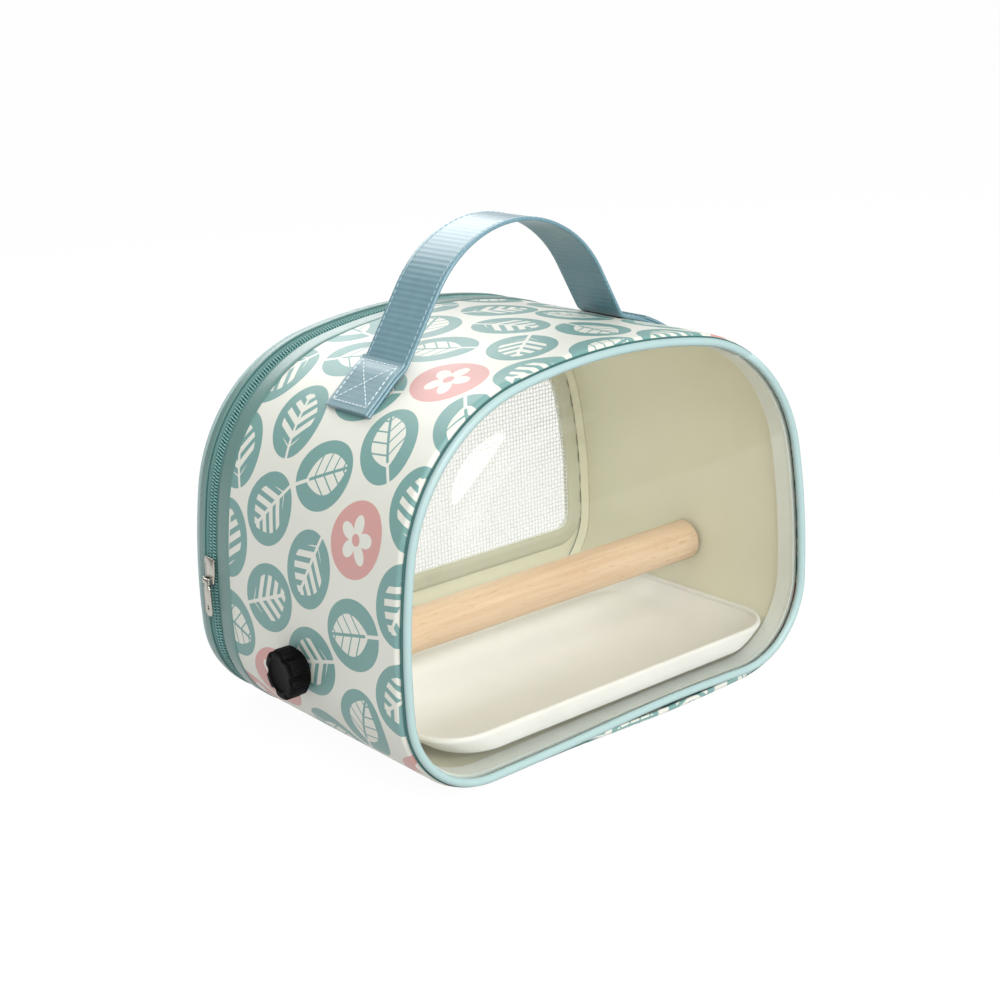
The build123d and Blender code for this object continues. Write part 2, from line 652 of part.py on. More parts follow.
# ---------------------------------------------------------- zip slider
SLIDER_ANGLE = math.asin((SLIDER_HEIGHT - SIDE_CENTRE[1]) / SIDE_RADIUS)
SLIDER_NORMAL = (-math.cos(SLIDER_ANGLE), 0, math.sin(SLIDER_ANGLE))
SLIDER_PLANE = Plane(
    origin=(-half_width(SLIDER_HEIGHT, 0), ZIP_Y, SLIDER_HEIGHT), x_dir=(0, -1, 0), z_dir=SLIDER_NORMAL
)
PLATE_BASE = SLIP
PLATE_TOP = PLATE_BASE + SLIDER_PLATE_THICK
INNER_PLATE_TOP = -(COIL_INSET + COIL_ROW_THICK + SLIP)
BAR_ALONG = -SLIDER_LENGTH / 2 + BAR_FROM_END
BAR_ABOVE = PLATE_TOP + BAR_HEIGHT
LUG_REACH = BAR_ABOVE + BAR_RADIUS + 0.4
PULL_EYE_BORE = BAR_RADIUS + TINY
LUG_INNER = PULL_EYE_WIDTH / 2 + SLIP


def slider_plate(base, thick):
    """One face plate, with its lower end drawn in."""
    with BuildSketch(SLIDER_PLANE.offset(base)) as plate:
        half, neck = SLIDER_WIDTH / 2, SLIDER_NECK / 2
        with BuildLine():
            Polyline(
                (-neck, -SLIDER_LENGTH / 2),
                (neck, -SLIDER_LENGTH / 2),
                (half, 0),
                (half, SLIDER_LENGTH / 2 - 1),
                (half - 1, SLIDER_LENGTH / 2),
                (1 - half, SLIDER_LENGTH / 2),
                (-half, SLIDER_LENGTH / 2 - 1),
                (-half, 0),
                close=True,
            )
        make_face()
    extrude(plate.sketch, amount=thick)


with BuildPart() as zip_slider:
    slider_plate(PLATE_BASE, SLIDER_PLATE_THICK)
    slider_plate(INNER_PLATE_TOP - SLIDER_PLATE_THICK, SLIDER_PLATE_THICK)
    with BuildSketch(SLIDER_PLANE.offset(INNER_PLATE_TOP)) as post:
        with Locations((0, (SLIDER_LENGTH - SLIDER_POST_LENGTH) / 2)):
            Rectangle(SLIDER_POST_THICK, SLIDER_POST_LENGTH)
    extrude(post.sketch, amount=PLATE_BASE - INNER_PLATE_TOP)
    with BuildSketch(SLIDER_PLANE.offset(SLIP - TAPE_INSET)) as flange:
        with Locations(((SLIDER_WIDTH - SLIDER_FLANGE_THICK) / 2, SLIDER_LENGTH / 4 - 0.5)):
            Rectangle(SLIDER_FLANGE_THICK, SLIDER_LENGTH / 2 - 1)
    extrude(flange.sketch, amount=PLATE_BASE + TAPE_INSET - SLIP)
    with BuildSketch(SLIDER_PLANE.offset(PLATE_TOP)) as lugs:
        for edge in (-1, 1):
            with Locations((edge * (LUG_INNER + LUG_THICK / 2), BAR_ALONG)):
                Rectangle(LUG_THICK, LUG_LENGTH)
    extrude(lugs.sketch, amount=LUG_REACH - PLATE_TOP)
    bar_centre = SLIDER_PLANE.from_local_coords((0, BAR_ALONG, BAR_ABOVE))
    with Locations(Plane(origin=bar_centre, z_dir=(0, 1, 0))):
        Cylinder(BAR_RADIUS, 2 * LUG_INNER + LUG_THICK)
save(zip_slider.part, "zip_slider")

BAR_CENTRE = SLIDER_PLANE.from_local_coords((0, BAR_ALONG, BAR_ABOVE))
with BuildPart() as zip_pull:
    with BuildSketch(Plane(origin=BAR_CENTRE, x_dir=(0, 1, 0), z_dir=(-1, 0, 0)).offset(-PULL_THICK / 2)) as tab:
        with BuildLine():
            half, eye = PULL_WIDTH / 2, PULL_EYE_WIDTH / 2
            shoulder = 2 * PULL_EYE_RADIUS
            Polyline(
                (-eye, 0),
                (-eye, shoulder),
                (-half, shoulder + 1),
                (-half, PULL_LENGTH - PULL_POINT),
                (-half + PULL_POINT, PULL_LENGTH),
                (half - PULL_POINT, PULL_LENGTH),
                (half, PULL_LENGTH - PULL_POINT),
                (half, shoulder + 1),
                (eye, shoulder),
                (eye, 0),
                close=True,
            )
        make_face()
        with Locations((0, PULL_LENGTH - 2 * PULL_POINT)):
            Circle(PULL_HOLE_RADIUS, mode=Mode.SUBTRACT)
    extrude(tab.sketch, amount=PULL_THICK)
    with Locations(Plane(origin=BAR_CENTRE, z_dir=(0, 1, 0))):
        Cylinder(PULL_EYE_RADIUS, PULL_EYE_WIDTH)
        Cylinder(PULL_EYE_BORE, 2 * PULL_EYE_WIDTH, mode=Mode.SUBTRACT)
save(zip_pull.part, "zip_pull")

# ------------------------------------------------------------------- tray


def tray_outline(z, half, front_gap, inset):
    """Rounded rectangle of the tray at one height."""
    depth = TRAY_DEPTH - 2 * front_gap - 2 * inset
    with BuildSketch(Plane.XY.offset(z)) as outline:
        with Locations((TRAY_SHIFT, TRAY_FRONT_Y + TRAY_DEPTH / 2)):
            RectangleRounded(2 * (half - inset), depth, TRAY_CORNER_RADIUS - inset)
    return outline.sketch


with BuildPart() as tray:
    loft([
        tray_outline(TRAY_BASE_Z, TRAY_BASE_HALF_WIDTH, TRAY_DRAFT, 0),
        tray_outline(TRAY_SHOULDER_Z, TRAY_RIM_HALF_WIDTH, 0, 0),
    ])
    fillet(tray.faces().sort_by(Axis.Z)[0].edges(), radius=TRAY_BASE_RADIUS)
    extrude(tray_outline(TRAY_SHOULDER_Z, TRAY_RIM_HALF_WIDTH, 0, 0), amount=TRAY_LIP)
    loft(
        [
            tray_outline(TRAY_BASE_Z + TRAY_WALL, TRAY_BASE_HALF_WIDTH + TRAY_WALL, TRAY_DRAFT, TRAY_WALL),
            tray_outline(TRAY_SHOULDER_Z, TRAY_RIM_HALF_WIDTH, 0, TRAY_WALL),
        ],
        mode=Mode.SUBTRACT,
    )
    extrude(
        tray_outline(TRAY_SHOULDER_Z, TRAY_RIM_HALF_WIDTH, 0, TRAY_WALL),
        amount=TRAY_LIP,
        mode=Mode.SUBTRACT,
    )
    fillet(tray.faces().sort_by(Axis.Z)[-1].edges(), radius=TRAY_EDGE_RADIUS)
save(tray.part, "tray")
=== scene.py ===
# %% [markdown]
# # A bird travel carrier over its CAD frame
# The carrier is a soft loaf-shaped bag: a printed cover over a stiff board, a clear front sewn in
# with piping, a zipped mesh door at the back, a webbing handle, a wooden perch held by two screw
# knobs, and a loose tray. The CAD frame gives every body its place. This file gives each piece its
# final surface and finish. The sizes of pieces are millimetres, and a mesh is scaled to metres when
# made. The studio's places and the pitches of patterns are metres, as Blender counts them.

# %% The frame
import math

import bmesh
import bpy
import numpy as np
from mathutils import Matrix, Vector


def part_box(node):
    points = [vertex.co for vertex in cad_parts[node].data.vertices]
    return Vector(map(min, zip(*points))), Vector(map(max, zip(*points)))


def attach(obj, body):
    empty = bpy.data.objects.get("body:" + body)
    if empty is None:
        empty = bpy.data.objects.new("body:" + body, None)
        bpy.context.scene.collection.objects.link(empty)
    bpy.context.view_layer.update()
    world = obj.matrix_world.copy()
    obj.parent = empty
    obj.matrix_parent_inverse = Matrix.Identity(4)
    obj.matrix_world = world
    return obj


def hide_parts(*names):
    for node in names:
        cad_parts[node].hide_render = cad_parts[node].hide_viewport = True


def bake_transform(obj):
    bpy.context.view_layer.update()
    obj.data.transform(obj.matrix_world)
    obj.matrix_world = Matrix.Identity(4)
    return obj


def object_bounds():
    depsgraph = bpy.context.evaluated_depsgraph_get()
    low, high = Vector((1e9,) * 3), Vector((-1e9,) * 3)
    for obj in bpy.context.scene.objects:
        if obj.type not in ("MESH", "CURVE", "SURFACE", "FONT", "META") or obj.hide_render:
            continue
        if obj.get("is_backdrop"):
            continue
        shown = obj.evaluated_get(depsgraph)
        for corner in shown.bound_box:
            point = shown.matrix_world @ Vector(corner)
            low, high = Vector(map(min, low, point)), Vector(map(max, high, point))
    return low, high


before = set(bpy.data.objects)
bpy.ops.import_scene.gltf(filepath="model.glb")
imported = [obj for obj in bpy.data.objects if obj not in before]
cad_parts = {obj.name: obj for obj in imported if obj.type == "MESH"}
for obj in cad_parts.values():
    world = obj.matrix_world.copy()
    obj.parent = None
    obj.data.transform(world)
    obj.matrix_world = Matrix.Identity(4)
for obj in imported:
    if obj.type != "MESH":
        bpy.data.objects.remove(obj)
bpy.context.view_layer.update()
MM = 0.001

# %% [markdown]
# ## Camera
# The camera stands in front and to the left, a little above. Its place follows from two angles, a
# roll and a distance from the point it looks at, so the matrix is built from those numbers. A
# tracking constraint could aim it too, but it can't tell the roll, and a plain matrix hides nothing.

# %% Camera
CAMERA_AZIMUTH = math.radians(-38.89)
CAMERA_ELEVATION = math.radians(17.5)
CAMERA_ROLL = math.radians(-2.68)
CAMERA_DISTANCE = 808.94
CAMERA_TARGET = Vector((-0.48, 3.47, 89.64))
CAMERA_LENS = 62.856


def camera_matrix(azimuth, elevation, roll, distance, target):
    """World matrix of a camera that looks at target: columns are right, up and back."""
    right = Vector((math.cos(azimuth), math.sin(azimuth), 0))
    back = Vector((math.sin(azimuth), -math.cos(azimuth), 0)) * math.cos(elevation)
    back.z = math.sin(elevation)
    up = back.cross(right)
    rolled_right = math.cos(roll) * right + math.sin(roll) * up
    rolled_up = math.cos(roll) * up - math.sin(roll) * right
    place = (target + back * distance) * MM
    return Matrix((rolled_right, rolled_up, back)).transposed().to_4x4(), place


camera = bpy.data.objects.new("camera", bpy.data.cameras.new("camera"))
bpy.context.scene.collection.objects.link(camera)
turn, place = camera_matrix(
    CAMERA_AZIMUTH, CAMERA_ELEVATION, CAMERA_ROLL, CAMERA_DISTANCE, CAMERA_TARGET
)
camera.matrix_world = Matrix.Translation(place) @ turn
camera.data.lens = CAMERA_LENS
camera.data.sensor_width = 36
bpy.context.scene.camera = camera
bpy.context.scene.view_settings.view_transform = "Standard"
print("camera at", [round(x, 3) for x in place])

# %% [markdown]
# ## Shader maths
# Patterns are sums and products of coordinates. Wrapping a socket in a small class lets them be
# written as ordinary expressions: each operator adds one Math node. One method makes any other node.
# Node trees can be drawn by hand in the editor, but an expression is shorter to read and to change.

# %% Materials as expressions


def srgb(code):
    """A hex colour as linear RGBA."""
    values = [int(code[i : i + 2], 16) / 255 for i in (0, 2, 4)]
    return tuple(c / 12.92 if c < 0.04045 else ((c + 0.055) / 1.055) ** 2.4 for c in values) + (1.0,)


class Field:
    """A number that varies over a surface. Arithmetic on it adds Math nodes."""

    def __init__(self, finish, socket):
        self.finish = finish
        self.socket = socket

    def __add__(self, other):
        return self.finish.math("ADD", self, other)

    def __sub__(self, other):
        return self.finish.math("SUBTRACT", self, other)

    def __rsub__(self, other):
        return self.finish.math("SUBTRACT", other, self)

    def __mul__(self, other):
        return self.finish.math("MULTIPLY", self, other)

    def __truediv__(self, other):
        return self.finish.math("DIVIDE", self, other)

    def __lt__(self, other):
        return self.finish.math("LESS_THAN", self, other)

    def __gt__(self, other):
        return self.finish.math("GREATER_THAN", self, other)

    def __abs__(self):
        return self.finish.math("ABSOLUTE", self)

    def __pow__(self, other):
        return self.finish.math("POWER", self, other)

    __radd__ = __add__
    __rmul__ = __mul__

    def apply(self, operation, *others):
        """Any other Math operation, by its name."""
        return self.finish.math(operation, self, *others)


class Finish:
    """One material: a Principled surface with the nodes that feed it."""

    def __init__(self, name, colour, roughness, constants=None):
        self.material = bpy.data.materials.new(name)
        self.material.use_nodes = True
        self.tree = self.material.node_tree
        self.surface = self.tree.nodes["Principled BSDF"]
        self.colour = srgb(colour)
        self.surface.inputs["Base Color"].default_value = self.colour
        self.surface.inputs["Roughness"].default_value = roughness
        self.material.diffuse_color = self.colour
        for socket, value in (constants or {}).items():
            self.surface.inputs[socket].default_value = value

    def node(self, kind, settings, inputs):
        """Any node: its settings first, then the values or links of its sockets."""
        made = self.tree.nodes.new(kind)
        for key, value in settings.items():
            setattr(made, key, value)
        for key, value in inputs.items():
            if isinstance(value, Field):
                value = value.socket
            if isinstance(value, bpy.types.NodeSocket):
                self.tree.links.new(value, made.inputs[key])
            else:
                made.inputs[key].default_value = value
        return made

    def math(self, operation, *values):
        """One Math node as a Field."""
        made = self.node("ShaderNodeMath", {"operation": operation}, dict(enumerate(values)))
        return Field(self, made.outputs[0])

    def axes(self, source="Object"):
        """The three coordinates of a surface point, in metres."""
        where = self.node("ShaderNodeTexCoord", {}, {}).outputs[source]
        split = self.node("ShaderNodeSeparateXYZ", {}, {0: where})
        return [Field(self, out) for out in split.outputs]

    def vector(self, x, y, z):
        """Three numbers or fields as one vector."""
        return self.node("ShaderNodeCombineXYZ", {}, {0: x, 1: y, 2: z}).outputs[0]

    def noise(self, vector, scale, detail=3.0, roughness=0.5):
        """Smooth noise from 0 to 1 at a scale per metre."""
        inputs = {"Vector": vector, "Scale": scale, "Detail": detail, "Roughness": roughness}
        return Field(self, self.node("ShaderNodeTexNoise", {}, inputs).outputs[0])

    def mix(self, mask, low, high):
        """A colour that goes from low to high with a mask. Sockets 0, 6 and 7 are factor, A and B."""
        made = self.node("ShaderNodeMix", {"data_type": "RGBA"}, {0: mask, 6: low, 7: high})
        return made.outputs[2]

    def paint(self, socket, value):
        """Feed one of the surface's sockets."""
        self.tree.links.new(value.socket if isinstance(value, Field) else value, self.surface.inputs[socket])

    def bump(self, height, distance, strength=1.0):
        """Relief from a height field from 0 to 1, distance metres tall."""
        made = self.node("ShaderNodeBump", {}, {"Height": height, "Distance": distance, "Strength": strength})
        self.paint("Normal", made.outputs[0])


print("shader helpers ready")

# %% [markdown]
# ## Studio
# A white room: the background and the floor are white to the camera, while the light that reaches the
# carrier is softer and gloss sees a dimmer room. The floor begins a little way in front, so the film
# mirrors its edge. The lamp behind gives the roof and the strap their brightness, the one on the left
# lights the end wall, a small one draws the highlight in the film, and a very small one lights the inside.

# %% World, floor and lamps
AMBIENT = 0.76
MIRRORED = 0.34
FLOOR_FRONT = -0.34


def ray_kind(tree, *names):
    """1 for rays of the named kinds."""
    path = tree.nodes.new("ShaderNodeLightPath")
    found = path.outputs[names[0]]
    for name in names[1:]:
        either = tree.nodes.new("ShaderNodeMath")
        either.operation = "MAXIMUM"
        tree.links.new(found, either.inputs[0])
        tree.links.new(path.outputs[name], either.inputs[1])
        found = either.outputs[0]
    return found


world = bpy.data.worlds.new("studio")
bpy.context.scene.world = world
world.use_nodes = True
tree = world.node_tree
shade = tree.nodes["Background"].outputs[0]
tree.nodes["Background"].inputs["Color"].default_value = (1, 1, 1, 1)
tree.nodes["Background"].inputs["Strength"].default_value = AMBIENT
for strength, kinds in ((MIRRORED, ["Is Glossy Ray"]), (1.0, ["Is Camera Ray", "Is Transmission Ray"])):
    other = tree.nodes.new("ShaderNodeBackground")
    other.inputs["Color"].default_value = (1, 1, 1, 1)
    other.inputs["Strength"].default_value = strength
    pick = tree.nodes.new("ShaderNodeMixShader")
    tree.links.new(ray_kind(tree, *kinds), pick.inputs[0])
    tree.links.new(shade, pick.inputs[1])
    tree.links.new(other.outputs[0], pick.inputs[2])
    shade = pick.outputs[0]
tree.links.new(shade, tree.nodes["World Output"].inputs["Surface"])

FLOOR_REACH = 40.0
FLOOR_GAP = 0.0003
floor_mesh = bpy.data.meshes.new("floor")
corners = [(x, y, 0) for y in (FLOOR_FRONT, FLOOR_REACH) for x in (-FLOOR_REACH, FLOOR_REACH)]
floor_mesh.from_pydata(corners, [], [(0, 1, 3, 2)])
floor = bpy.data.objects.new("floor", floor_mesh)
floor.location.z = -FLOOR_GAP
bpy.context.scene.collection.objects.link(floor)
floor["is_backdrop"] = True
paper = Finish("studio_floor", "F4F4F4", 0.9)
glow = paper.node("ShaderNodeEmission", {}, {"Color": (1, 1, 1, 1), "Strength": 1.0})
GLOW_SHARE = 0.965
seen = Field(paper, ray_kind(paper.tree, "Is Camera Ray", "Is Glossy Ray", "Is Transmission Ray"))
paper.paint("Base Color", paper.mix(seen, srgb("C8C8C8"), srgb("F6F6F6")))
floor_mix = paper.node(
    "ShaderNodeMixShader", {}, {0: seen * GLOW_SHARE, 1: paper.surface.outputs[0], 2: glow.outputs[0]}
)
paper.tree.links.new(floor_mix.outputs[0], paper.tree.nodes["Material Output"].inputs["Surface"])
floor_mesh.materials.append(paper.material)


def lamp(name, place, aim, size, watts):
    """A square soft lamp that faces a point."""
    made = bpy.data.objects.new(name, bpy.data.lights.new(name, "AREA"))
    made.data.shape = "SQUARE"
    made.data.size = size
    made.data.energy = watts
    made.location = place
    made.rotation_mode = "QUATERNION"
    made.rotation_quaternion = (Vector(place) - Vector(aim)).to_track_quat("Z", "Y")
    bpy.context.scene.collection.objects.link(made)


lamp("overhead", (0.3, -0.2, 1.5), (0, 0, 0.1), 1.1, 1)
lamp("behind", (0.28, 0.95, 0.88), (0, 0, 0.2), 0.85, 10)
lamp("left", (-0.45, -1.15, 1.05), (0.05, 0, 0.08), 0.7, 23)
lamp("glint", (0.104, -1.154, 0.308), (-0.068, -0.078, 0.152), 0.5, 5)
lamp("inside", (0.02, -0.025, 0.156), (0.02, -0.025, 0), 0.14, 0.038)
print("studio ready")

# %% [markdown]
# ## The loaf outline
# The body's section is a flat base, a corner arc, a long side arc, a shoulder and a roof, all
# tangent. Every stretch is written the same way: a centre that may slide, a radius and an angle. A
# point at any depth inside the skin is then the skin point moved in along its own normal. A Bezier
# curve could follow the same line, but arcs give exact normals, and every piece shares one set of
# columns, so that cover, piping, zip and lining stay parallel all the way round.

# %% Outline values
cover_low, cover_high = (np.array(corner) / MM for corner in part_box("wall_cover"))
BODY_WIDTH = cover_high[0] - cover_low[0]
BODY_HEIGHT = cover_high[2]
WIDEST_HEIGHT = 53.0
BASE_RADIUS = 43.2
SIDE_RADIUS = 310.0
SHOULDER_RADIUS = 78.0
ROOF_RADIUS = 273.0
OUTLINE_STEP = 1.3
SIDE_CENTRE = np.array([BODY_WIDTH / 2 - SIDE_RADIUS, WIDEST_HEIGHT])
ROOF_CENTRE = np.array([0.0, BODY_HEIGHT - ROOF_RADIUS])


def corner_centre(base, radius, inset):
    """Centre of the arc that touches a level base and, from inside, the side arc at an inset."""
    span = SIDE_RADIUS - inset - radius
    rise = base + radius - SIDE_CENTRE[1]
    return np.array([SIDE_CENTRE[0] + math.sqrt(span**2 - rise**2), base + radius])


def shoulder_centre():
    """Centre of the arc that touches both the side arc and the roof arc from inside."""
    side_span = SIDE_RADIUS - SHOULDER_RADIUS
    roof_span = ROOF_RADIUS - SHOULDER_RADIUS
    apart = ROOF_CENTRE - SIDE_CENTRE
    length = np.hypot(*apart)
    along = (length**2 + side_span**2 - roof_span**2) / (2 * length)
    across = math.sqrt(side_span**2 - along**2)
    unit = apart / length
    return SIDE_CENTRE + along * unit + across * np.array([-unit[1], unit[0]])


BASE_CENTRE = corner_centre(0, BASE_RADIUS, 0)
SHOULDER_CENTRE = shoulder_centre()


def angle_of(start, end):
    """Direction from one point to another."""
    return math.atan2(end[1] - start[1], end[0] - start[0])


def stretches(corner, corner_radius, inset):
    """Rows of (centre x, centre z, slide x, radius, first angle, turn), from the base's middle round."""
    low = angle_of(SIDE_CENTRE, corner)
    high = angle_of(SIDE_CENTRE, SHOULDER_CENTRE)
    roof = angle_of(ROOF_CENTRE, SHOULDER_CENTRE)
    half, shoulder = SHOULDER_RADIUS - inset, SHOULDER_CENTRE
    right = [
        (0, corner[1], corner[0], corner_radius, -math.pi / 2, 0),
        (*corner, 0, corner_radius, -math.pi / 2, math.pi / 2 + low),
        (*SIDE_CENTRE, 0, SIDE_RADIUS - inset, low, high - low),
        (*shoulder, 0, half, high, roof - high),
        (*ROOF_CENTRE, 0, ROOF_RADIUS - inset, roof, math.pi / 2 - roof),
    ]
    left = [
        (-x - slide, z, slide, radius, math.pi - first - sweep, sweep)
        for x, z, slide, radius, first, sweep in right[::-1]
    ]
    left[-1] = (-corner[0], corner[1], corner[0], corner_radius, -math.pi / 2, 0)
    return np.array(right + left)


def trace_outline(rows, stretch, share):
    """Points and outward normals at a share of each numbered stretch."""
    x, z, slide, radius, first, sweep = rows[stretch].T
    angle = first + share * sweep
    normal = np.stack([np.cos(angle), np.sin(angle)], 1)
    return np.stack([x + share * slide, z], 1) + radius[:, None] * normal, normal


body_rows = stretches(BASE_CENTRE, BASE_RADIUS, 0)
lengths = body_rows[:, 2] + body_rows[:, 3] * body_rows[:, 5]
counts = np.maximum(2, np.round(lengths / OUTLINE_STEP)).astype(int)
STRETCH = np.repeat(np.arange(len(counts)), counts)
SHARE = np.concatenate([np.arange(n) / n for n in counts])
SKIN, NORMAL = trace_outline(body_rows, STRETCH, SHARE)
ARC = np.concatenate([[0], np.cumsum(lengths)])[STRETCH] + SHARE * lengths[STRETCH]
GIRTH = lengths.sum()
COLUMNS = len(SKIN)
print("outline:", COLUMNS, "columns, girth", round(GIRTH, 1), "mm")

# %% [markdown]
# ## Surfaces from grids
# A closed band of wall is a short profile of (depth, inset) points carried round the outline. The
# grid of points becomes quads with one numpy expression, and the UV map holds real metres, so that a
# print or a weave keeps its scale on every piece. Extruding a curve object would be quicker to set
# up, but it leaves no say over the UV map or over small waves in the cloth.

# %% Grid helpers


def link(name, mesh, finish, body=None, stands_for=()):
    """Put a mesh in the scene as a finished piece."""
    mesh.materials.append(finish.material)
    piece = bpy.data.objects.new(name, mesh)
    bpy.context.scene.collection.objects.link(piece)
    if body:
        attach(piece, body)
    if stands_for:
        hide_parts(*stands_for)
    return piece


def mesh_from_grid(name, points, round_columns, round_rows, u=None, v=None, caps=False, sharp=40):
    """Quads over a grid of points in mm: rows first, then columns. u and v are metres at each
    column and row, with one more entry than the grid so that a closed grid's UV doesn't fold back."""
    rows, columns = points.shape[:2]
    r, c = np.meshgrid(
        np.arange(rows - (not round_rows)), np.arange(columns - (not round_columns)), indexing="ij"
    )
    r = np.stack([r, r, r + 1, r + 1], -1).reshape(-1, 4)
    c = np.stack([c, c + 1, c + 1, c], -1).reshape(-1, 4)
    faces = ((r % rows) * columns + c % columns).tolist()
    quads = len(faces)
    if caps and round_rows:
        faces.append((np.arange(rows)[::-1] * columns).tolist())
        faces.append((np.arange(rows) * columns + columns - 1).tolist())
    if caps and round_columns:
        faces.append((np.arange(columns)[::-1] + (rows - 1) * columns).tolist())
        if caps != "last":
            faces.append(np.arange(columns).tolist())
    mesh = bpy.data.meshes.new(name)
    mesh.from_pydata((points.reshape(-1, 3) * MM).tolist(), [], faces)
    layer = mesh.uv_layers.new(name="cloth")
    if u is not None:
        corners = np.zeros((len(mesh.loops), 2))
        corners[: quads * 4, 0] = np.asarray(u)[c.ravel()]
        corners[: quads * 4, 1] = np.asarray(v)[r.ravel()]
        layer.data.foreach_set("uv", corners.ravel())
    if (round_columns or caps) and (round_rows or caps):
        shell = bmesh.new()
        shell.from_mesh(mesh)
        bmesh.ops.recalc_face_normals(shell, faces=shell.faces)
        shell.to_mesh(mesh)
        shell.free()
    mesh.shade_smooth()
    mesh.set_sharp_from_angle(angle=math.radians(sharp))
    return mesh


def spaced(corners, step):
    """A closed profile with points no further apart than step, from its corner points."""
    corners = np.array(corners, float)
    ends = np.roll(corners, -1, 0)
    parts = []
    for start, end in zip(corners, ends):
        count = max(1, math.ceil(np.hypot(*(end - start)) / step))
        parts.append(start + (end - start) * (np.arange(count) / count)[:, None])
    return np.concatenate(parts)


def running(points):
    """Distance along a row of points, in metres, with the closing step added."""
    steps = np.linalg.norm(np.roll(points, -1, 0) - points, axis=1)
    return np.concatenate([[0], np.cumsum(steps)]) * MM


def wall_points(depth, inset, columns):
    """Points of the wall: the skin point less the inset along its normal, at each depth."""
    depth, inset = np.broadcast_arrays(*(np.asarray(a, float) for a in (depth, inset)))
    if depth.ndim == 1:
        depth, inset = depth[:, None], inset[:, None]
    flat = SKIN[columns][None] - inset[..., None] * NORMAL[columns][None]
    depth = np.broadcast_to(depth, flat.shape[:2])
    return np.stack([flat[..., 0], depth, flat[..., 1]], -1)


ALL = np.arange(COLUMNS)
FLOOR_HALF = 80.0
ZIP_END_X = 84.0


def over_the_roof(half):
    """Columns from one floor corner over the roof to the other, leaving the floor's middle open."""
    low = (np.abs(SKIN[:, 0]) < half) & (SKIN[:, 1] < WIDEST_HEIGHT)
    return np.nonzero(~low)[0]


def across_the_floor(half):
    """Columns of the floor's middle, left to right."""
    low = np.nonzero((np.abs(SKIN[:, 0]) < half) & (SKIN[:, 1] < WIDEST_HEIGHT))[0]
    return low[np.argsort(SKIN[low, 0])]


def loop_mesh(name, profile, columns=ALL, shift_depth=0.0, shift_inset=0.0, sharp=40):
    """A closed profile of (depth, inset) carried round the outline. A shift may differ at each column."""
    depth = profile[:, :1] + shift_depth
    inset = profile[:, 1:] + shift_inset
    points = wall_points(depth + 0 * inset, inset + 0 * depth, columns)
    closed = len(columns) == COLUMNS
    along = ARC[columns].copy()
    along[SKIN[columns, 0] < 0] -= GIRTH * (not closed and SKIN[columns[0], 0] < 0)
    u = np.append(along, GIRTH) * MM
    return mesh_from_grid(name, points, closed, True, u, running(profile), caps=not closed, sharp=sharp)


print("zip columns:", len(over_the_roof(ZIP_END_X)), "floor columns:", len(across_the_floor(FLOOR_HALF)))

# %% [markdown]
# ## Finishes
# Coated cloth, cord, webbing, wood and moulded plastic differ in colour, gloss and relief. Cloth
# patterns follow the UV map in metres, because a weave follows the cloth round a corner. Wood and
# plastic read Object coordinates, because their grain goes through the whole piece. Each finish has a
# mottling that changes colour and gloss a little: without it, a surface looks like paint.

# %% Plain finishes


def cloth(name, colour, roughness, thread, relief, shade=0.06, constants=None):
    """A woven or coated cloth: two crossed rows of threads, thread metres apart, with faint mottling."""
    f = Finish(name, colour, roughness, constants)
    u, v, _ = f.axes("UV")
    weave = (u * (2 * math.pi / thread)).apply("SINE") * (v * (2 * math.pi / thread)).apply("SINE")
    mottle = f.noise(f.vector(u, v, 0.0), 60.0)
    dark = tuple(c * (1 - shade * 2.5) for c in f.colour[:3]) + (1.0,)
    f.paint("Base Color", f.mix(mottle * 0.55 + weave * 0.12 + 0.1, dark, f.colour))
    f.paint("Roughness", mottle * 0.12 + (roughness - 0.06))
    f.bump((weave * 0.5 + 0.5) * 0.6 + mottle * 0.4, relief)
    return f


def moulded(name, colour, roughness, relief=0.00004, scale=900.0, constants=None):
    """Moulded plastic or metal with a fine grain."""
    f = Finish(name, colour, roughness, constants)
    x, y, z = f.axes()
    grain = f.noise(f.vector(x, y, z), scale)
    broad = f.noise(f.vector(x, y, z), 40.0)
    dark = tuple(c * 0.9 for c in f.colour[:3]) + (1.0,)
    f.paint("Base Color", f.mix(broad, dark, f.colour))
    f.paint("Roughness", grain * 0.14 + (roughness - 0.07))
    f.bump(grain, relief)
    return f


COATED = {"Coat Weight": 0.35, "Coat Roughness": 0.35}
METAL = {"Metallic": 1.0}
teal_cloth = cloth("teal_cloth", "5A7D78", 0.42, 0.0006, 0.00004, 0.06, COATED)
piping_cloth = cloth("piping_cloth", "93ABAA", 0.45, 0.0005, 0.00002, 0.03)
tape_cloth = cloth("zip_tape_twill", "567D79", 0.7, 0.0007, 0.00008)
lining_cloth = cloth("lining_cloth", "ECEAD3", 0.42, 0.0011, 0.00002, 0.03)
binding_cloth = cloth("binding_tape", "D3D3BE", 0.75, 0.0009, 0.0001)
# Dark cloth for cords that stand in for shade: painted shade in the front crease, at the zip tapes' edges and
# in the coils' cores.
shade_cord_cloth = cloth("painted_shade_cord", "2E5C59", 0.8, 0.0008, 0.00003)
film_tape = cloth("film_tape", "F1F5EF", 0.5, 0.0012, 0.00003, 0.04)
board_foam = moulded("board", "8A8A86", 0.9, 0.0001, 500.0)
coil_nylon = moulded("coil_nylon", "6E9E9A", 0.4)
knob_plastic = moulded("black_plastic", "040404", 0.5, 0.00003, 1400.0, {"Specular IOR Level": 0.08})
tray_plastic = moulded("tray_plastic", "F5F4EF", 0.38, 0.00002, 700.0)
nickel = moulded("nickel", "C2BFB5", 0.26, 0.000003, 6000.0, METAL)
steel = moulded("steel", "B5B6B8", 0.3, 0.000003, 6000.0, METAL)
brass = moulded("brass", "C8A860", 0.3, 0.000003, 6000.0, METAL)
rubber = moulded("black_rubber", "1B1B1B", 0.75)
white_thread = moulded("white_thread", "C4D2D4", 0.6, 0.00005, 3000.0)
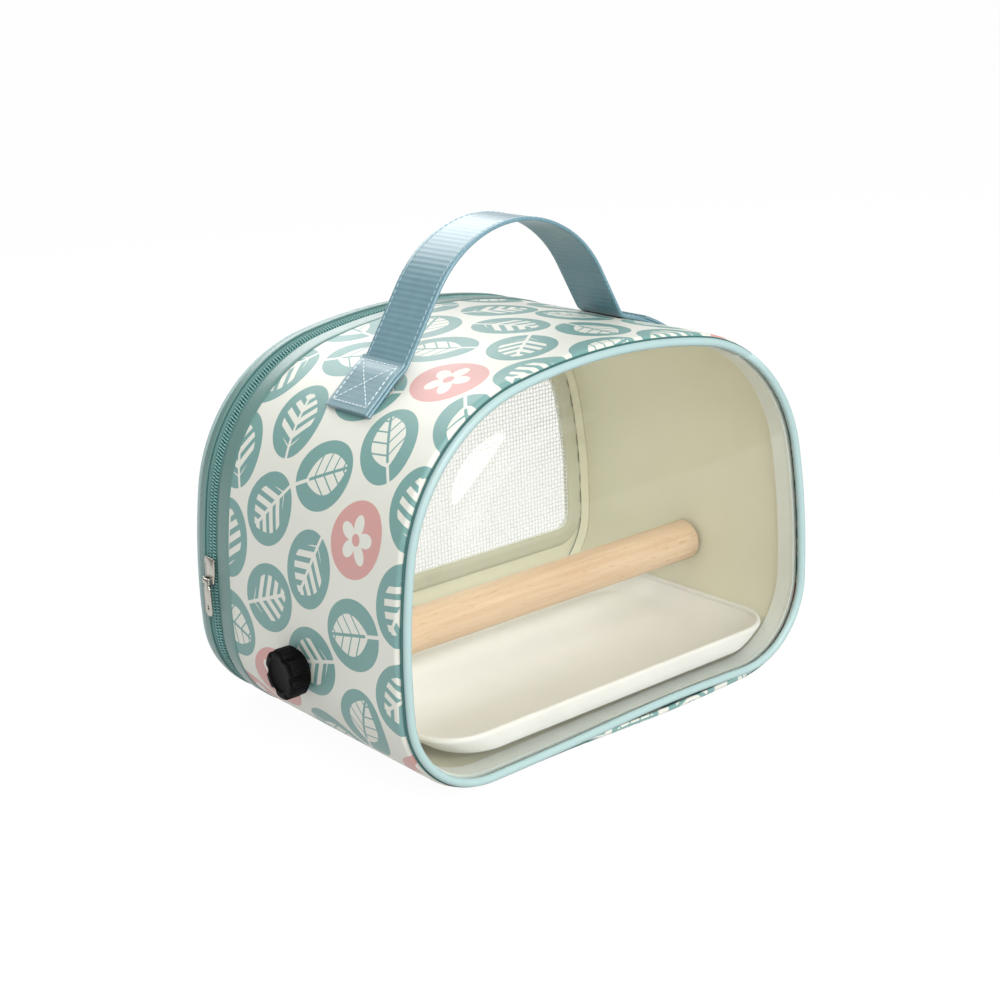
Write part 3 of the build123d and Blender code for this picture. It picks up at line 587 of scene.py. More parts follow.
teal_thread = moulded("teal_thread", "93AFB6", 0.6, 0.00005, 3000.0)
print("plain finishes ready")

# %% [markdown]
# ## The print
# The cover carries a repeat of pebbles, each with a leaf, a fern or a blossom left out of it. Each
# motif sits in a cell of a lattice, and three random numbers per cell turn it, nudge it and pick its
# kind. A second lattice, shifted by half a cell, fills the gaps between the first one's motifs. A
# painted image could hold the same print, but its edges blur close up and its repeat shows; here each
# motif is a few comparisons of coordinates, and stays sharp at any distance.

# %% Print finish
CELL_ALONG = 0.0400
CELL_ACROSS = 0.0640
MOTIF_RADIUS = 0.0172
LEAF_SHARE = 0.46
GREEN_SHARE = 0.84
THREADS_PER_METRE = 9000.0
GROUND = srgb("C8C9C0")
GROUND_SHADE = srgb("C3C3B9")
TEAL = srgb("678D89")
PINK = srgb("BA8C87")


def cut_leaf(p, q):
    """1 inside a leaf with parted barbs and a stalk that reaches the pebble's edge."""
    width = 0.52 - ((p - 0.12) / 0.78) ** 2 * 0.52
    barbs = (p * 2.9 - q * 1.7).apply("FRACT") > 0.15
    vane = (q < width) * barbs * (q > 0.04)
    stalk = (q < 0.045) * (abs(p + 0.82) < 0.3)
    return vane + stalk


def cut_fern(p, q):
    """1 inside a fern: a stem with a few broad fronds on each side."""
    width = 0.60 - ((p - 0.02) / 0.80) ** 2 * 0.60
    fronds = (p * 2.7 - q * 1.9).apply("FRACT") > 0.46
    stem = (q < 0.045) * (p < 0.72)
    return ((q < width) * fronds + stem).apply("MINIMUM", 1.0)


def cut_blossom(p, q):
    """1 inside a five-petalled blossom with an open middle."""
    radius = (p * p + q * q).apply("SQRT")
    petals = abs((q.apply("ARCTAN2", p) * 2.5).apply("COSINE"))
    return (radius < petals * 0.36 + 0.26) * (radius > 0.15)


def motifs(f, along, across, seed):
    """(teal, pink) masks of one lattice."""
    column, row = along.apply("FLOOR"), across.apply("FLOOR")
    dice = f.node(
        "ShaderNodeTexWhiteNoise", {"noise_dimensions": "3D"}, {"Vector": f.vector(column, row, seed)}
    )
    split = f.node("ShaderNodeSeparateColor", {}, {0: dice.outputs["Color"]})
    spin, kind, nudge = (Field(f, out) for out in split.outputs)
    x = (along - column - 0.5) * CELL_ALONG / MOTIF_RADIUS + (nudge - 0.5) * 0.12
    y = (across - row - 0.5) * CELL_ACROSS / MOTIF_RADIUS + (spin - 0.5) * 0.14
    angle = spin * (2 * math.pi)
    cosine, sine = angle.apply("COSINE"), angle.apply("SINE")
    p = x * cosine + y * sine
    q = abs(y * cosine - x * sine)
    pebble = (p * p * 0.90 + q * q * 1.28) < 1.0
    leaf = cut_leaf(p, q) * (kind < LEAF_SHARE)
    fern = cut_fern(p, q) * (kind > LEAF_SHARE) * (kind < GREEN_SHARE)
    teal = pebble * (1 - (leaf + fern)) * (kind < GREEN_SHARE)
    pink = pebble * (1 - cut_blossom(p, q)) * (kind > GREEN_SHARE)
    return teal, pink


def printed(name, roughness, seed):
    """The printed, lightly coated cloth: motifs of two lattices over a mottled ground and a fine weave."""
    f = Finish(name, "EFEDE5", roughness, {"Specular IOR Level": 0.55})
    u, v, _ = f.axes("UV")
    first = motifs(f, u / CELL_ALONG, v / CELL_ACROSS, seed)
    second = motifs(f, u / CELL_ALONG + 0.5, v / CELL_ACROSS + 0.5, seed + 7.0)
    mottle = f.noise(f.vector(u, v, 0.0), 30.0)
    ground = f.mix(mottle * 0.6, GROUND, GROUND_SHADE)
    with_pink = f.mix((first[1] + second[1]).apply("MINIMUM", 1.0), ground, PINK)
    f.paint("Base Color", f.mix((first[0] + second[0]).apply("MINIMUM", 1.0), with_pink, TEAL))
    weave = (u * THREADS_PER_METRE).apply("SINE") * (v * THREADS_PER_METRE).apply("SINE")
    f.paint("Roughness", mottle * 0.1 + (roughness - 0.05))
    f.bump(weave * 0.3 + mottle * 0.5 + 0.3, 0.00005)
    return f


cover_print = printed("printed_cover", 0.45, 3.0)
print("print nodes:", len(cover_print.tree.nodes))

# %% [markdown]
# ## Cover, lining and boards
# The cover is one closed shell: its outer skin, a rolled front edge and the inner face. Near the
# front of the floor the real cloth sags forward under the piping, so a smooth bump moves it there. Two
# low waves keep the walls from looking like metal: a broad one, and a fine pucker beside the front
# seam. A cloth simulation would suit a loose bag, but boards hold these walls flat, so sums of sines
# say all that the cloth does. Boards and screws are hardly seen, and keep their CAD shapes.

# %% Cover
COVER_THICK = 0.9
LINING_INSET = 3.3
WALL_THICK = 4.1
LIP_Y = -75.6
BAND_FRONT_Y = 50.4
ZIP_FRONT_Y = 59.6
RIM_FRONT_Y = 71.6
RIM_BACK_Y = 75.9
ZIP_Y = (ZIP_FRONT_Y + RIM_FRONT_Y) / 2
ROLL_RADIUS = 2.8
SAG_X = 30.0
SAG_REACH = 62.0
SAG_DEPTH = 4.0
SLUMP_LENGTH = 7.0
SOFT_WAVE = 0.25
PUCKER_WAVE = 0.12
PUCKER_LENGTH = 9.0
TONGUE_BACK_Y = 75.4
PIPE_LIFT = 2.2


def sag_at(columns):
    """How far the cover's lower front edge has slumped forward, from 0 to 1, at each column."""
    underneath = np.clip(-NORMAL[columns, 1], 0, 1) ** 2
    return np.exp(-(((SKIN[columns, 0] - SAG_X) / SAG_REACH) ** 2)) * underneath


def quarter(centre, radius, start, end, steps=6):
    """An arc of profile points: angle 0 is deeper, 90 degrees is outwards."""
    angle = np.radians(np.linspace(start, end, steps))
    return np.stack([centre[0] + radius * np.cos(angle), centre[1] - radius * np.sin(angle)], 1)


def cover_profile():
    """Outer skin from back to front, the rolled edge, and the inner skin back again."""
    inner = ROLL_RADIUS - COVER_THICK
    roll = (LIP_Y + ROLL_RADIUS, ROLL_RADIUS)
    depths = np.arange(BAND_FRONT_Y, roll[0], -3.0)
    outer_rows = np.stack([depths, 0 * depths], 1)
    lip = [[LIP_Y, LINING_INSET], [LIP_Y + COVER_THICK, LINING_INSET]]
    inner_rows = [[roll[0] + 1, COVER_THICK], [0.0, COVER_THICK], [BAND_FRONT_Y, COVER_THICK]]
    outer_roll = quarter(roll, ROLL_RADIUS, 90, 180)
    inner_roll = quarter(roll, inner, 180, 90, 4)
    return np.concatenate([outer_rows, outer_roll, lip, inner_roll, inner_rows])


profile = cover_profile()
depths = profile[:, :1]
near_front = np.exp(-(((depths - LIP_Y) / SLUMP_LENGTH) ** 2))
slump = -SAG_DEPTH * near_front * sag_at(ALL)[None]
softness = SOFT_WAVE * np.sin(ARC / 23 + depths / 31) * np.sin(depths / 19 + 1.3)
pucker = PUCKER_WAVE * np.exp((LIP_Y - depths) / PUCKER_LENGTH) * np.sin(ARC / 2.6)
lifted = np.clip(NORMAL[:, 1] + 1.0, 0, 1)[None]
outer_skin = profile[:, 1:] < 2
mesh = loop_mesh("cover", profile, ALL, slump, -(softness + pucker) * lifted * outer_skin)
link("cover", mesh, cover_print, "carrier", ["wall_cover"])
print("cover faces:", len(mesh.polygons))

tongue = [(TONGUE_BACK_Y, 0), (BAND_FRONT_Y, 0), (BAND_FRONT_Y, COVER_THICK), (TONGUE_BACK_Y, COVER_THICK)]
mesh = loop_mesh("cover_tongue", spaced(tongue, 4), across_the_floor(FLOOR_HALF))
link("cover_tongue", mesh, cover_print, "carrier")

# %% Lining and hidden pieces
LINING_FRONT_Y = -64.8
LINING_STEP_Y = 58.7
LINING_BACK_Y = 71.0
lining_corners = [
    (LINING_STEP_Y, LINING_INSET),
    (LINING_FRONT_Y, LINING_INSET),
    (LINING_FRONT_Y, WALL_THICK),
    (LINING_STEP_Y, WALL_THICK),
    (LINING_BACK_Y, 4.2),
    (LINING_BACK_Y, 3.9),
    (ZIP_FRONT_Y, 3.8),
]
mesh = loop_mesh("lining", spaced(lining_corners, 6))
link("lining", mesh, lining_cloth, "carrier", ["wall_lining"])


def keep(node, finish):
    """A CAD node whose shape is right gets its finish."""
    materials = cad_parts[node].data.materials
    materials.clear()
    materials.append(finish.material)


keep("wall_board", board_foam)
keep("floor_board", board_foam)
for part, finish in (
    ("perch_insert_", brass), ("perch_washer_", rubber), ("knob_flange_", knob_plastic), ("knob_stud_", steel)
):
    for hand in ("left", "right"):
        keep(part + hand, finish)
print("lining and hidden pieces done")

# %% [markdown]
# ## Front seam
# A piping cord stands round the clear front. Where it meets the cover, a thin dark cord lies in the groove
# as painted shade. Behind it the window's edge is bound with a soft tape, which shows inside the carrier
# as a pale band. The film is a set of rings that shrink from the edge to a point. It bulges a little, and
# one low ridge in the upper left corner, where a sewn film buckles, is what catches the light. The film has
# no thickness worth refracting, so its finish mixes a clear shader with a glossy one by the angle of view
# alone.

# %% Piping, window and binding


def cord_profile(depth, inset, radius, sides=14):
    """A round section."""
    angle = np.linspace(0, 2 * math.pi, sides, endpoint=False)
    return np.stack([depth + radius * np.cos(angle), inset - radius * np.sin(angle)], 1)


FRONT_PIPE_Y = -77.5
FRONT_PIPE_INSET = 3.3
FRONT_PIPE_RADIUS = 1.85
CREASE_Y = -76.3
CREASE_INSET = 1.35
CREASE_RADIUS = 0.5
BINDING_FRONT_Y = -74.2
BINDING_DEPTH = 5.7
sag = sag_at(ALL)[None]
lift = PIPE_LIFT * sag
pipe = cord_profile(FRONT_PIPE_Y, FRONT_PIPE_INSET, FRONT_PIPE_RADIUS)
mesh = loop_mesh("front_piping", pipe, ALL, 0.25 * lift, lift)
link("front_piping", mesh, piping_cloth, "carrier", ["front_piping"])
# A thin dark cord in the crease between piping and cover: painted shade.
groove = cord_profile(CREASE_Y, CREASE_INSET, CREASE_RADIUS, 8)
mesh = loop_mesh("front_crease_shade", groove, ALL, -0.4 * SAG_DEPTH * sag, 0.5 * lift)
link("front_crease_shade", mesh, shade_cord_cloth, "carrier")

binding_corners = [
    (LINING_FRONT_Y, 2.9),
    (BINDING_FRONT_Y, 3.2),
    (BINDING_FRONT_Y, BINDING_DEPTH),
    (LINING_FRONT_Y, BINDING_DEPTH),
]
mesh = loop_mesh("front_binding", spaced(binding_corners, 2.5), ALL, 0.0, 0.4 * lift)
link("front_binding", mesh, film_tape, "carrier", ["front_binding"])

# %% The film
WINDOW_Y = -75.2
WINDOW_INSET = 3.9
WINDOW_HEART_Z = 84.0
WINDOW_RINGS = 60
WINDOW_BULGE = 2.0
RIDGE_HEIGHT = 2.6
RIDGE_WIDTH = 6.5
RIDGE_IN = 19.0
RIDGE_TURN = math.radians(137)
RIDGE_SPREAD = 0.6
clear = Finish("clear_window", "FFFFFF", 0.06)
facing = clear.node("ShaderNodeFresnel", {}, {"IOR": 1.45}).outputs[0]
see_through = clear.node("ShaderNodeBsdfTransparent", {}, {"Color": (0.97, 0.98, 0.97, 1)})
glossy = clear.node("ShaderNodeBsdfGlossy", {}, {"Color": (1, 1, 1, 1), "Roughness": 0.05})
window_mix = clear.node(
    "ShaderNodeMixShader", {}, {0: facing, 1: see_through.outputs[0], 2: glossy.outputs[0]}
)
clear.tree.links.new(window_mix.outputs[0], clear.tree.nodes["Material Output"].inputs["Surface"])

edge = wall_points(np.array([WINDOW_Y]), np.array([WINDOW_INSET]), ALL)[0]
edge[:, 2] += (PIPE_LIFT * sag_at(ALL)) * 0.9
heart = np.array([0.0, WINDOW_Y, WINDOW_HEART_Z])
shrink = np.linspace(1, 0.02, WINDOW_RINGS)[:, None, None]
sheet = heart + (edge - heart) * shrink
sheet[..., 1] -= WINDOW_BULGE * (1 - shrink[..., 0] ** 4)
spoke = edge - heart
inward = (1 - shrink[..., 0]) * np.linalg.norm(spoke, axis=1)[None]
turned_by = np.arctan2(spoke[:, 2], spoke[:, 0])[None] - RIDGE_TURN
ridge = np.exp(-(((inward - RIDGE_IN) / RIDGE_WIDTH) ** 2)) * np.exp(-((turned_by / RIDGE_SPREAD) ** 2))
sheet[..., 1] -= RIDGE_HEIGHT * ridge
around = np.append(ARC, GIRTH) * MM
to_heart = np.arange(WINDOW_RINGS) * 0.004
mesh = mesh_from_grid("front_window", sheet, True, False, around, to_heart, caps="last")
link("front_window", mesh, clear, "carrier", ["front_window"])
print("front seam done")

# %% [markdown]
# ## Zip
# A plain teal band carries one tape and the door's rim the other. Each coil is a wound nylon wire, so
# it is a helix swept along the outline; the two rows are half a turn apart and mesh in the middle. A
# cord fills each coil, as in a real zip, and is dark as painted shade between the turns. Dark cords of
# painted shade lie where each tape goes under its edge.
# An Array modifier could repeat one tooth along a curve, but it bunches up in tight corners, where a
# helix keeps its pitch.

# %% Band, tapes and rim
ROOFWARD = over_the_roof(ZIP_END_X)
band_corners = [
    (ZIP_FRONT_Y, 0.1),
    (59.3, -0.3),
    (50.7, -0.4),
    (50.1, 0.0),
    (BAND_FRONT_Y, 0.8),
    (LINING_STEP_Y, COVER_THICK),
    (LINING_STEP_Y, 3.8),
    (ZIP_FRONT_Y, 3.8),
]
mesh = loop_mesh("zip_band", spaced(band_corners, 2.5), over_the_roof(FLOOR_HALF))
link("zip_band", mesh, teal_cloth, "carrier", ["zip_band"])


def bead_profile(start, way):
    """A tape that lies under its neighbour's edge, with a raised bead beside it."""
    shape = [(0, 1.5), (1.0, 1.4), (1.3, 0.7), (2.1, 0.35), (2.9, 0.6)]
    shape += [(3.3, 1.1), (5.0, 1.1), (5.0, 1.6), (0, 1.9)]
    return np.array([(start + way * along, inset) for along, inset in shape])


TAPE_STARTS = (("zip_tape_body", "carrier", 58.9, 1), ("zip_tape_door", "door", 72.3, -1))
for name, body, start, way in TAPE_STARTS:
    mesh = loop_mesh(name, bead_profile(start, way), ROOFWARD)
    link(name, mesh, tape_cloth, body, [name])
RIM_HEM_Y = 72.5
RIM_FOLD_Y = 75.0
RIM_DEPTH = 6.0
rim_corners = [
    (RIM_BACK_Y, 0.2),
    (75.5, -0.1),
    (72.0, -0.2),
    (71.5, 0.2),
    (RIM_FRONT_Y, 4.0),
    (RIM_HEM_Y, 4.0),
    (RIM_HEM_Y, 0.9),
    (RIM_FOLD_Y, 0.9),
    (RIM_FOLD_Y, RIM_DEPTH),
    (RIM_BACK_Y, RIM_DEPTH),
]
mesh = loop_mesh("door_rim", spaced(rim_corners, 1.5), ROOFWARD)
link("door_rim", mesh, teal_cloth, "door", ["door_rim"])
# Dark cords where each tape goes under its edge: painted shade of the gap there.
SHADE_LINE_INSET = 0.75
for name, body, depth, radius in (("shade_line_body", "carrier", 59.95, 0.6), ("shade_line_door", "door", 71.3, 0.45)):
    mesh = loop_mesh(name, cord_profile(depth, SHADE_LINE_INSET, radius, 8), ROOFWARD)
    link(name, mesh, shade_cord_cloth, body)
DOOR_PIPE_Y = 78.2
DOOR_PIPE_INSET = 2.6
DOOR_PIPE_RADIUS = 2.2
mesh = loop_mesh("door_piping", cord_profile(DOOR_PIPE_Y, DOOR_PIPE_INSET, DOOR_PIPE_RADIUS), ALL)
link("door_piping", mesh, piping_cloth, "door", ["door_piping"])

# %% Coils
COIL_PITCH = 1.5
COIL_POINTS = 8
COIL_OFFSET = 1.3
COIL_HALF_WIDTH = 0.95
COIL_INSET = 1.1
COIL_HALF_THICK = 0.7
CORE_INSET = 1.25
CORE_RADIUS = 0.6
WIRE_RADIUS = 0.36
WIRE_SIDES = 5


def tube(name, path, across, radius, sides):
    """A round wire along a path. across is a direction at each point that the path never follows."""
    ahead = np.gradient(path, axis=0)
    ahead /= np.linalg.norm(ahead, axis=1)[:, None]
    side = np.cross(ahead, across)
    side /= np.linalg.norm(side, axis=1)[:, None]
    other = np.cross(ahead, side)
    angle = np.linspace(0, 2 * math.pi, sides, endpoint=False)[:, None, None]
    rings = path[None] + radius * (np.cos(angle) * side[None] + np.sin(angle) * other[None])
    return mesh_from_grid(name, rings, False, True, caps=True, sharp=80)


def coil(name, depth, start_turn, columns):
    """A helix whose axis is the outline at one depth: a cosine across the zip, a sine through it."""
    first, last = ARC[columns[0]], ARC[columns[-1]]
    turns = (last - first) / COIL_PITCH
    arc = np.linspace(first, last, int(turns * COIL_POINTS))
    skin = np.stack([np.interp(arc, ARC, SKIN[:, i]) for i in (0, 1)], 1)
    out = np.stack([np.interp(arc, ARC, NORMAL[:, i]) for i in (0, 1)], 1)
    turn = (arc - first) / COIL_PITCH * 2 * math.pi + start_turn
    flat = skin - (COIL_INSET - COIL_HALF_THICK * np.sin(turn))[:, None] * out
    path = np.stack([flat[:, 0], depth + COIL_HALF_WIDTH * np.cos(turn), flat[:, 1]], 1)
    along = np.stack([-out[:, 1], 0 * arc, out[:, 0]], 1)
    return tube(name, path, along, WIRE_RADIUS, WIRE_SIDES)


for name, body, depth, start in (
    ("zip_coil_body", "carrier", ZIP_Y - COIL_OFFSET, 0.0),
    ("zip_coil_door", "door", ZIP_Y + COIL_OFFSET, math.pi),
):
    mesh = coil(name, depth, start, ROOFWARD)
    link(name, mesh, coil_nylon, body, [name])
    # The cord inside each coil is dark as painted shade between its turns.
    core = loop_mesh(name + "_core_shade", cord_profile(depth, CORE_INSET, CORE_RADIUS, 8), ROOFWARD)
    link(name + "_core_shade", core, shade_cord_cloth, body)
print("coil faces:", len(mesh.polygons))

# %% [markdown]
# ## Door
# The door is a printed panel with a mesh window. The panel's grid runs from the rim's outline to the
# window's outline, which has its own corner arcs above a raised sill. A Boolean could cut the window,
# but a grid between two outlines has clean quads, and the binding tapes reuse the same outline. The
# tapes are a little wavy along their edge, because they are eased round the corners by hand.

# %% Door panel and bindings
MESH_INSET = 15.0
MESH_CORNER = 8.0
MESH_BINDING = 8.5
MESH_SILL = 34.0
PANEL_EDGE_INSET = 4.9
PANEL_FRONT_Y = 76.6
PANEL_BACK_Y = 77.5
mesh_corner = corner_centre(MESH_SILL, MESH_CORNER, MESH_INSET)


def mesh_outline(margin):
    """The mesh window's outline, grown by a margin, with the wall's columns."""
    rows = stretches(mesh_corner, MESH_CORNER + margin, MESH_INSET - margin)
    return trace_outline(rows, STRETCH, SHARE)[0]


def flat_band(outer, inner, front, back, steps=10):
    """A flat closed band between two outlines and two depths; its UV map is the plane itself."""
    share = np.linspace(0, 1, steps)[:, None, None]
    face = outer * (1 - share) + inner * share
    grid = np.concatenate([face[::-1], face])
    depth = np.repeat([back, front], steps)
    return np.stack([grid[..., 0], np.broadcast_to(depth[:, None], grid.shape[:2]), grid[..., 1]], -1)


def flat_mesh(name, points):
    """A closed band's mesh, with (x, z) in metres as its UV map."""
    mesh = mesh_from_grid(name, points, True, True)
    corner = np.zeros(len(mesh.loops), int)
    mesh.loops.foreach_get("vertex_index", corner)
    flat = points.reshape(-1, 3)[corner][:, [0, 2]] * MM
    mesh.uv_layers["cloth"].data.foreach_set("uv", flat.ravel())
    return mesh


rim_outline = SKIN - PANEL_EDGE_INSET * NORMAL
panel = flat_mesh("door_panel", flat_band(rim_outline, mesh_outline(0), PANEL_FRONT_Y, PANEL_BACK_Y))
link("door_panel", panel, cover_print, "door", ["door_panel"])
inside = flat_mesh("door_lining", flat_band(rim_outline, mesh_outline(0), RIM_BACK_Y, PANEL_FRONT_Y))
link("door_lining", inside, lining_cloth, "door")
skirt = spaced([(71.3, 3.6), (71.3, 4.4), (74.6, 6.8), (RIM_FOLD_Y, 6.2)], 1.5)
link("door_lining_edge", loop_mesh("door_lining_edge", skirt), lining_cloth, "door")


BINDING_ROWS = 9
BINDING_BULGE = 0.9


def binding_ring(name, depth, thick, finish, wave):
    """A soft tape round the mesh, thicker in its middle, with a slightly uneven stitched edge."""
    across = np.linspace(0, 1, BINDING_ROWS)
    upright = np.clip(1 + NORMAL[:, 1] * 2, 0, 1) * (NORMAL[:, 1] > -0.5)
    wobble = wave * upright * (np.sin(ARC / 1.75) + 0.6 * np.sin(ARC / 4.3 + 1.0))
    outer = mesh_outline(MESH_BINDING) + wobble[:, None] * NORMAL
    face = np.stack([mesh_outline(0) * (1 - k) + outer * k for k in across])
    bulge = thick * np.sqrt(np.clip(1 - (2 * across - 1) ** 4, 0, 1))
    grid = np.concatenate([face, face[::-1]])
    depths = np.concatenate([depth + np.sign(thick) * 0.05 + bulge, np.full(BINDING_ROWS, depth)])
    points = np.stack([grid[..., 0], np.broadcast_to(depths[:, None], grid.shape[:2]), grid[..., 1]], -1)
    link(name, flat_mesh(name, points), finish, "door", [name])


binding_ring("mesh_binding_inner", RIM_BACK_Y - 0.6, -BINDING_BULGE, binding_cloth, 0.8)
edge_band = flat_band(mesh_outline(0.3), mesh_outline(-0.5), RIM_BACK_Y - 0.6, DOOR_PIPE_Y, 3)
link("mesh_edge_wrap", flat_mesh("mesh_edge_wrap", edge_band), binding_cloth, "door")
binding_ring("mesh_binding_outer", PANEL_BACK_Y, BINDING_BULGE, teal_cloth, 0.0)

# %% [markdown]
# ## Netting
# The window is filled with a coarse white net that a bird can't push through. A flat plane with a
# see-through pattern is lighter, but it goes flat when seen from the side. Here every strand is a thin
# square tube that passes over and under the others. A cell is kept where its middle is inside the
# window, by the old rule of counting how often a line from it crosses the outline.

# %% Door mesh
MESH_PITCH = 2.1
STRAND_RADIUS = 0.26
STRAND_RISE = 0.14
MESH_OVERLAP = 4.0
netting = moulded("white_netting", "F1F2EF", 0.6, 0.00003, 2500.0)


def inside_outline(points, outline):
    """True where a point lies inside a closed outline, by counting crossings."""
    x, z = points[:, 0, None], points[:, 1, None]
    ax, az = outline.T
    bx, bz = np.roll(outline, -1, 0).T
    crosses = (az > z) != (bz > z)
    at = ax + (z - az) / np.where(bz == az, 1, bz - az) * (bx - ax)
    return np.sum(crosses & (x < at), 1) % 2 == 1


def netting_mesh(name, depth, outline):
    """Two sets of square strands that pass over and under each other, trimmed to an outline."""
    low, high = outline.min(0), outline.max(0)
    verts, faces, total = [], [], 0
    for axis in (0, 1):
        fixed = np.arange(low[axis] + 1, high[axis], MESH_PITCH)
        run = np.arange(low[1 - axis], high[1 - axis] + MESH_PITCH, MESH_PITCH)
        sign = 1 - 2 * ((np.arange(len(fixed))[:, None] + np.arange(len(run))[None] + axis) % 2)
        ring = STRAND_RADIUS * np.array([[1, 0], [0, 1], [-1, 0], [0, -1]], float)
        grid = np.zeros((len(fixed), len(run), 4, 3))
        grid[..., 2 * axis] = fixed[:, None, None] + ring[:, 0]
        grid[..., 2 - 2 * axis] = run[None, :, None]
        grid[..., 1] = depth + STRAND_RISE * sign[..., None] + ring[:, 1]
        index = np.arange(grid[..., 0].size).reshape(grid.shape[:3]) + total
        beside = np.roll(index, -1, 2)
        quads = np.stack([index[:, :-1], beside[:, :-1], beside[:, 1:], index[:, 1:]], -1)
        middle = (grid[:, 1:, 0] + grid[:, :-1, 0])[..., [0, 2]] / 2
        keep_cell = inside_outline(middle.reshape(-1, 2), outline).reshape(len(fixed), -1)
        faces.append(quads[keep_cell].reshape(-1, 4))
        verts.append(grid.reshape(-1, 3))
        total += grid[..., 0].size
    mesh = bpy.data.meshes.new(name)
    mesh.from_pydata((np.concatenate(verts) * MM).tolist(), [], np.concatenate(faces).tolist())
    trimmed = bmesh.new()
    trimmed.from_mesh(mesh)
    bmesh.ops.delete(trimmed, geom=[v for v in trimmed.verts if not v.link_faces], context="VERTS")
    trimmed.to_mesh(mesh)
    trimmed.free()
    mesh.shade_smooth()
    return mesh


mesh = netting_mesh("door_mesh", RIM_BACK_Y - 0.2, mesh_outline(MESH_OVERLAP))
link("door_mesh", mesh, netting, "door", ["door_mesh"])
print("netting faces:", len(mesh.polygons))

# %% [markdown]
# ## Hinge strip
# The door folds down about its lower back edge. A short strip of cloth joins the floor to the door's piping
# there, and on the real carrier it bends with the door. Here it is a flat grid thickened by a Solidify
# modifier, attached to no body.

# %% Hinge strip
STRIP_HALF = 78.0
STRIP_FRONT_Y = 74.5
STRIP_BACK_Y = 78.4
STRIP_HEIGHT = 0.45
STRIP_THICK = 0.6
STRIP_LENGTH = 160.0
along = np.linspace(-STRIP_HALF, STRIP_HALF, 40)
across = np.linspace(STRIP_FRONT_Y, STRIP_BACK_Y, 8)
strip = np.stack(np.meshgrid(along, across, indexing="ij"), -1)
sheet = np.stack([strip[..., 0], strip[..., 1], STRIP_HEIGHT + 0 * strip[..., 0]], -1)
cloth_u, cloth_v = (np.linspace(0, STRIP_LENGTH * MM, count + 1) for count in (8, 40))
mesh = mesh_from_grid("door_hinge_cloth", sheet, False, False, cloth_u, cloth_v)
hinge = link("door_hinge_cloth", mesh, teal_cloth, None)
thick = hinge.modifiers.new("thickness", "SOLIDIFY")
thick.thickness = STRIP_THICK * MM
thick.offset = 0
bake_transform(hinge)
print("hinge strip done")

# %% [markdown]
# ## Handle
# One length of webbing is sewn flat to both shoulders and stands up between them in a soft arch. Its
# middle line follows the roof, leaves it on a straight leg and turns over the crest; smoothing that
# line gives the gentle bends of stiff webbing. The upper part swings with the handle and the lower part
# stays on the roof; here the strap is one piece attached to no body. Each end is covered by a folded
# patch with a sewn box and cross, and every stitch is a small capsule of thread.

# %% Webbing
STRAP_Y = -10.8
STRAP_HALF_WIDTH = 15.0
STRAP_THICK = 1.6
STRAP_END_X = 91.0
CREST = np.array([-6.5, 223.4 - STRAP_THICK / 2])
CREST_RADIUS = 53.0
LEFT_SLOPE = 57.0
RIGHT_SLOPE = 62.0
FOLD_CLEAR = {-1: 4.0, 1: 0.9}
FOLD_LENGTH = 9.0
LYING_GAP = 0.15
SMOOTH_REACH = 8
SMOOTH_WIDTH = 2.4


def skin_height(x):
    """Height of the roof or shoulder at x."""
    upper = np.nonzero(SKIN[:, 1] > 100)[0]
    order = upper[np.argsort(SKIN[upper, 0])]
    return np.interp(x, SKIN[order, 0], SKIN[order, 1])


def strap_line():
    """Points (x, z) of the webbing's middle line, one each millimetre, smoothed."""
    centre = CREST - [0, CREST_RADIUS]
    angle = np.radians(np.linspace(-LEFT_SLOPE, RIGHT_SLOPE, 120))
    crest = centre + CREST_RADIUS * np.stack([np.sin(angle), np.cos(angle)], 1)
    legs = []
    for top, side, slope in ((crest[0], -1, LEFT_SLOPE), (crest[-1], 1, RIGHT_SLOPE)):
        run = np.arange(0, 60, 0.5)[:, None]
        fall = top + run * [side * math.cos(math.radians(slope)), -math.sin(math.radians(slope))]
        clear = FOLD_CLEAR[side]
        fall = fall[fall[:, 1] > skin_height(fall[:, 0]) + clear]
        reach = np.arange(abs(fall[-1, 0]) + 1, STRAP_END_X + 0.5, 1.0)
        lift = (clear - STRAP_THICK / 2) * np.exp(-(((reach - reach[0]) / FOLD_LENGTH) ** 2))
        lie = np.stack([reach * side, skin_height(reach * side) + STRAP_THICK / 2 + LYING_GAP + lift], 1)
        legs.append(np.concatenate([fall[1:], lie]))
    line = np.concatenate([legs[0][::-1], crest, legs[1]])
    length = np.concatenate([[0], np.cumsum(np.linalg.norm(np.diff(line, axis=0), axis=1))])
    even = np.arange(0, length[-1], 1.0)
    line = np.stack([np.interp(even, length, line[:, i]) for i in (0, 1)], 1)
    kernel = np.exp(-((np.arange(-SMOOTH_REACH, SMOOTH_REACH + 1) / SMOOTH_WIDTH) ** 2))
    kernel /= kernel.sum()
    padded = np.pad(line, ((SMOOTH_REACH, SMOOTH_REACH), (0, 0)), mode="reflect", reflect_type="odd")
    return np.stack([np.convolve(padded[:, i], kernel, "valid") for i in (0, 1)], 1)


STRAP_LINE = strap_line()
along = np.gradient(STRAP_LINE, axis=0)
along /= np.linalg.norm(along, axis=1)[:, None]
STRAP_UP = np.stack([-along[:, 1], along[:, 0]], 1)
STRAP_RUN = np.arange(len(STRAP_LINE)) * 1.0


def strap_point(run, across, above):
    """A point of the webbing: distance along it, distance across it, height above its middle."""
    at = [np.interp(run, STRAP_RUN, STRAP_LINE[:, i]) for i in (0, 1)]
    up = [np.interp(run, STRAP_RUN, STRAP_UP[:, i]) for i in (0, 1)]
    return np.stack([at[0] + above * up[0], STRAP_Y + across + 0 * run, at[1] + above * up[1]], -1)


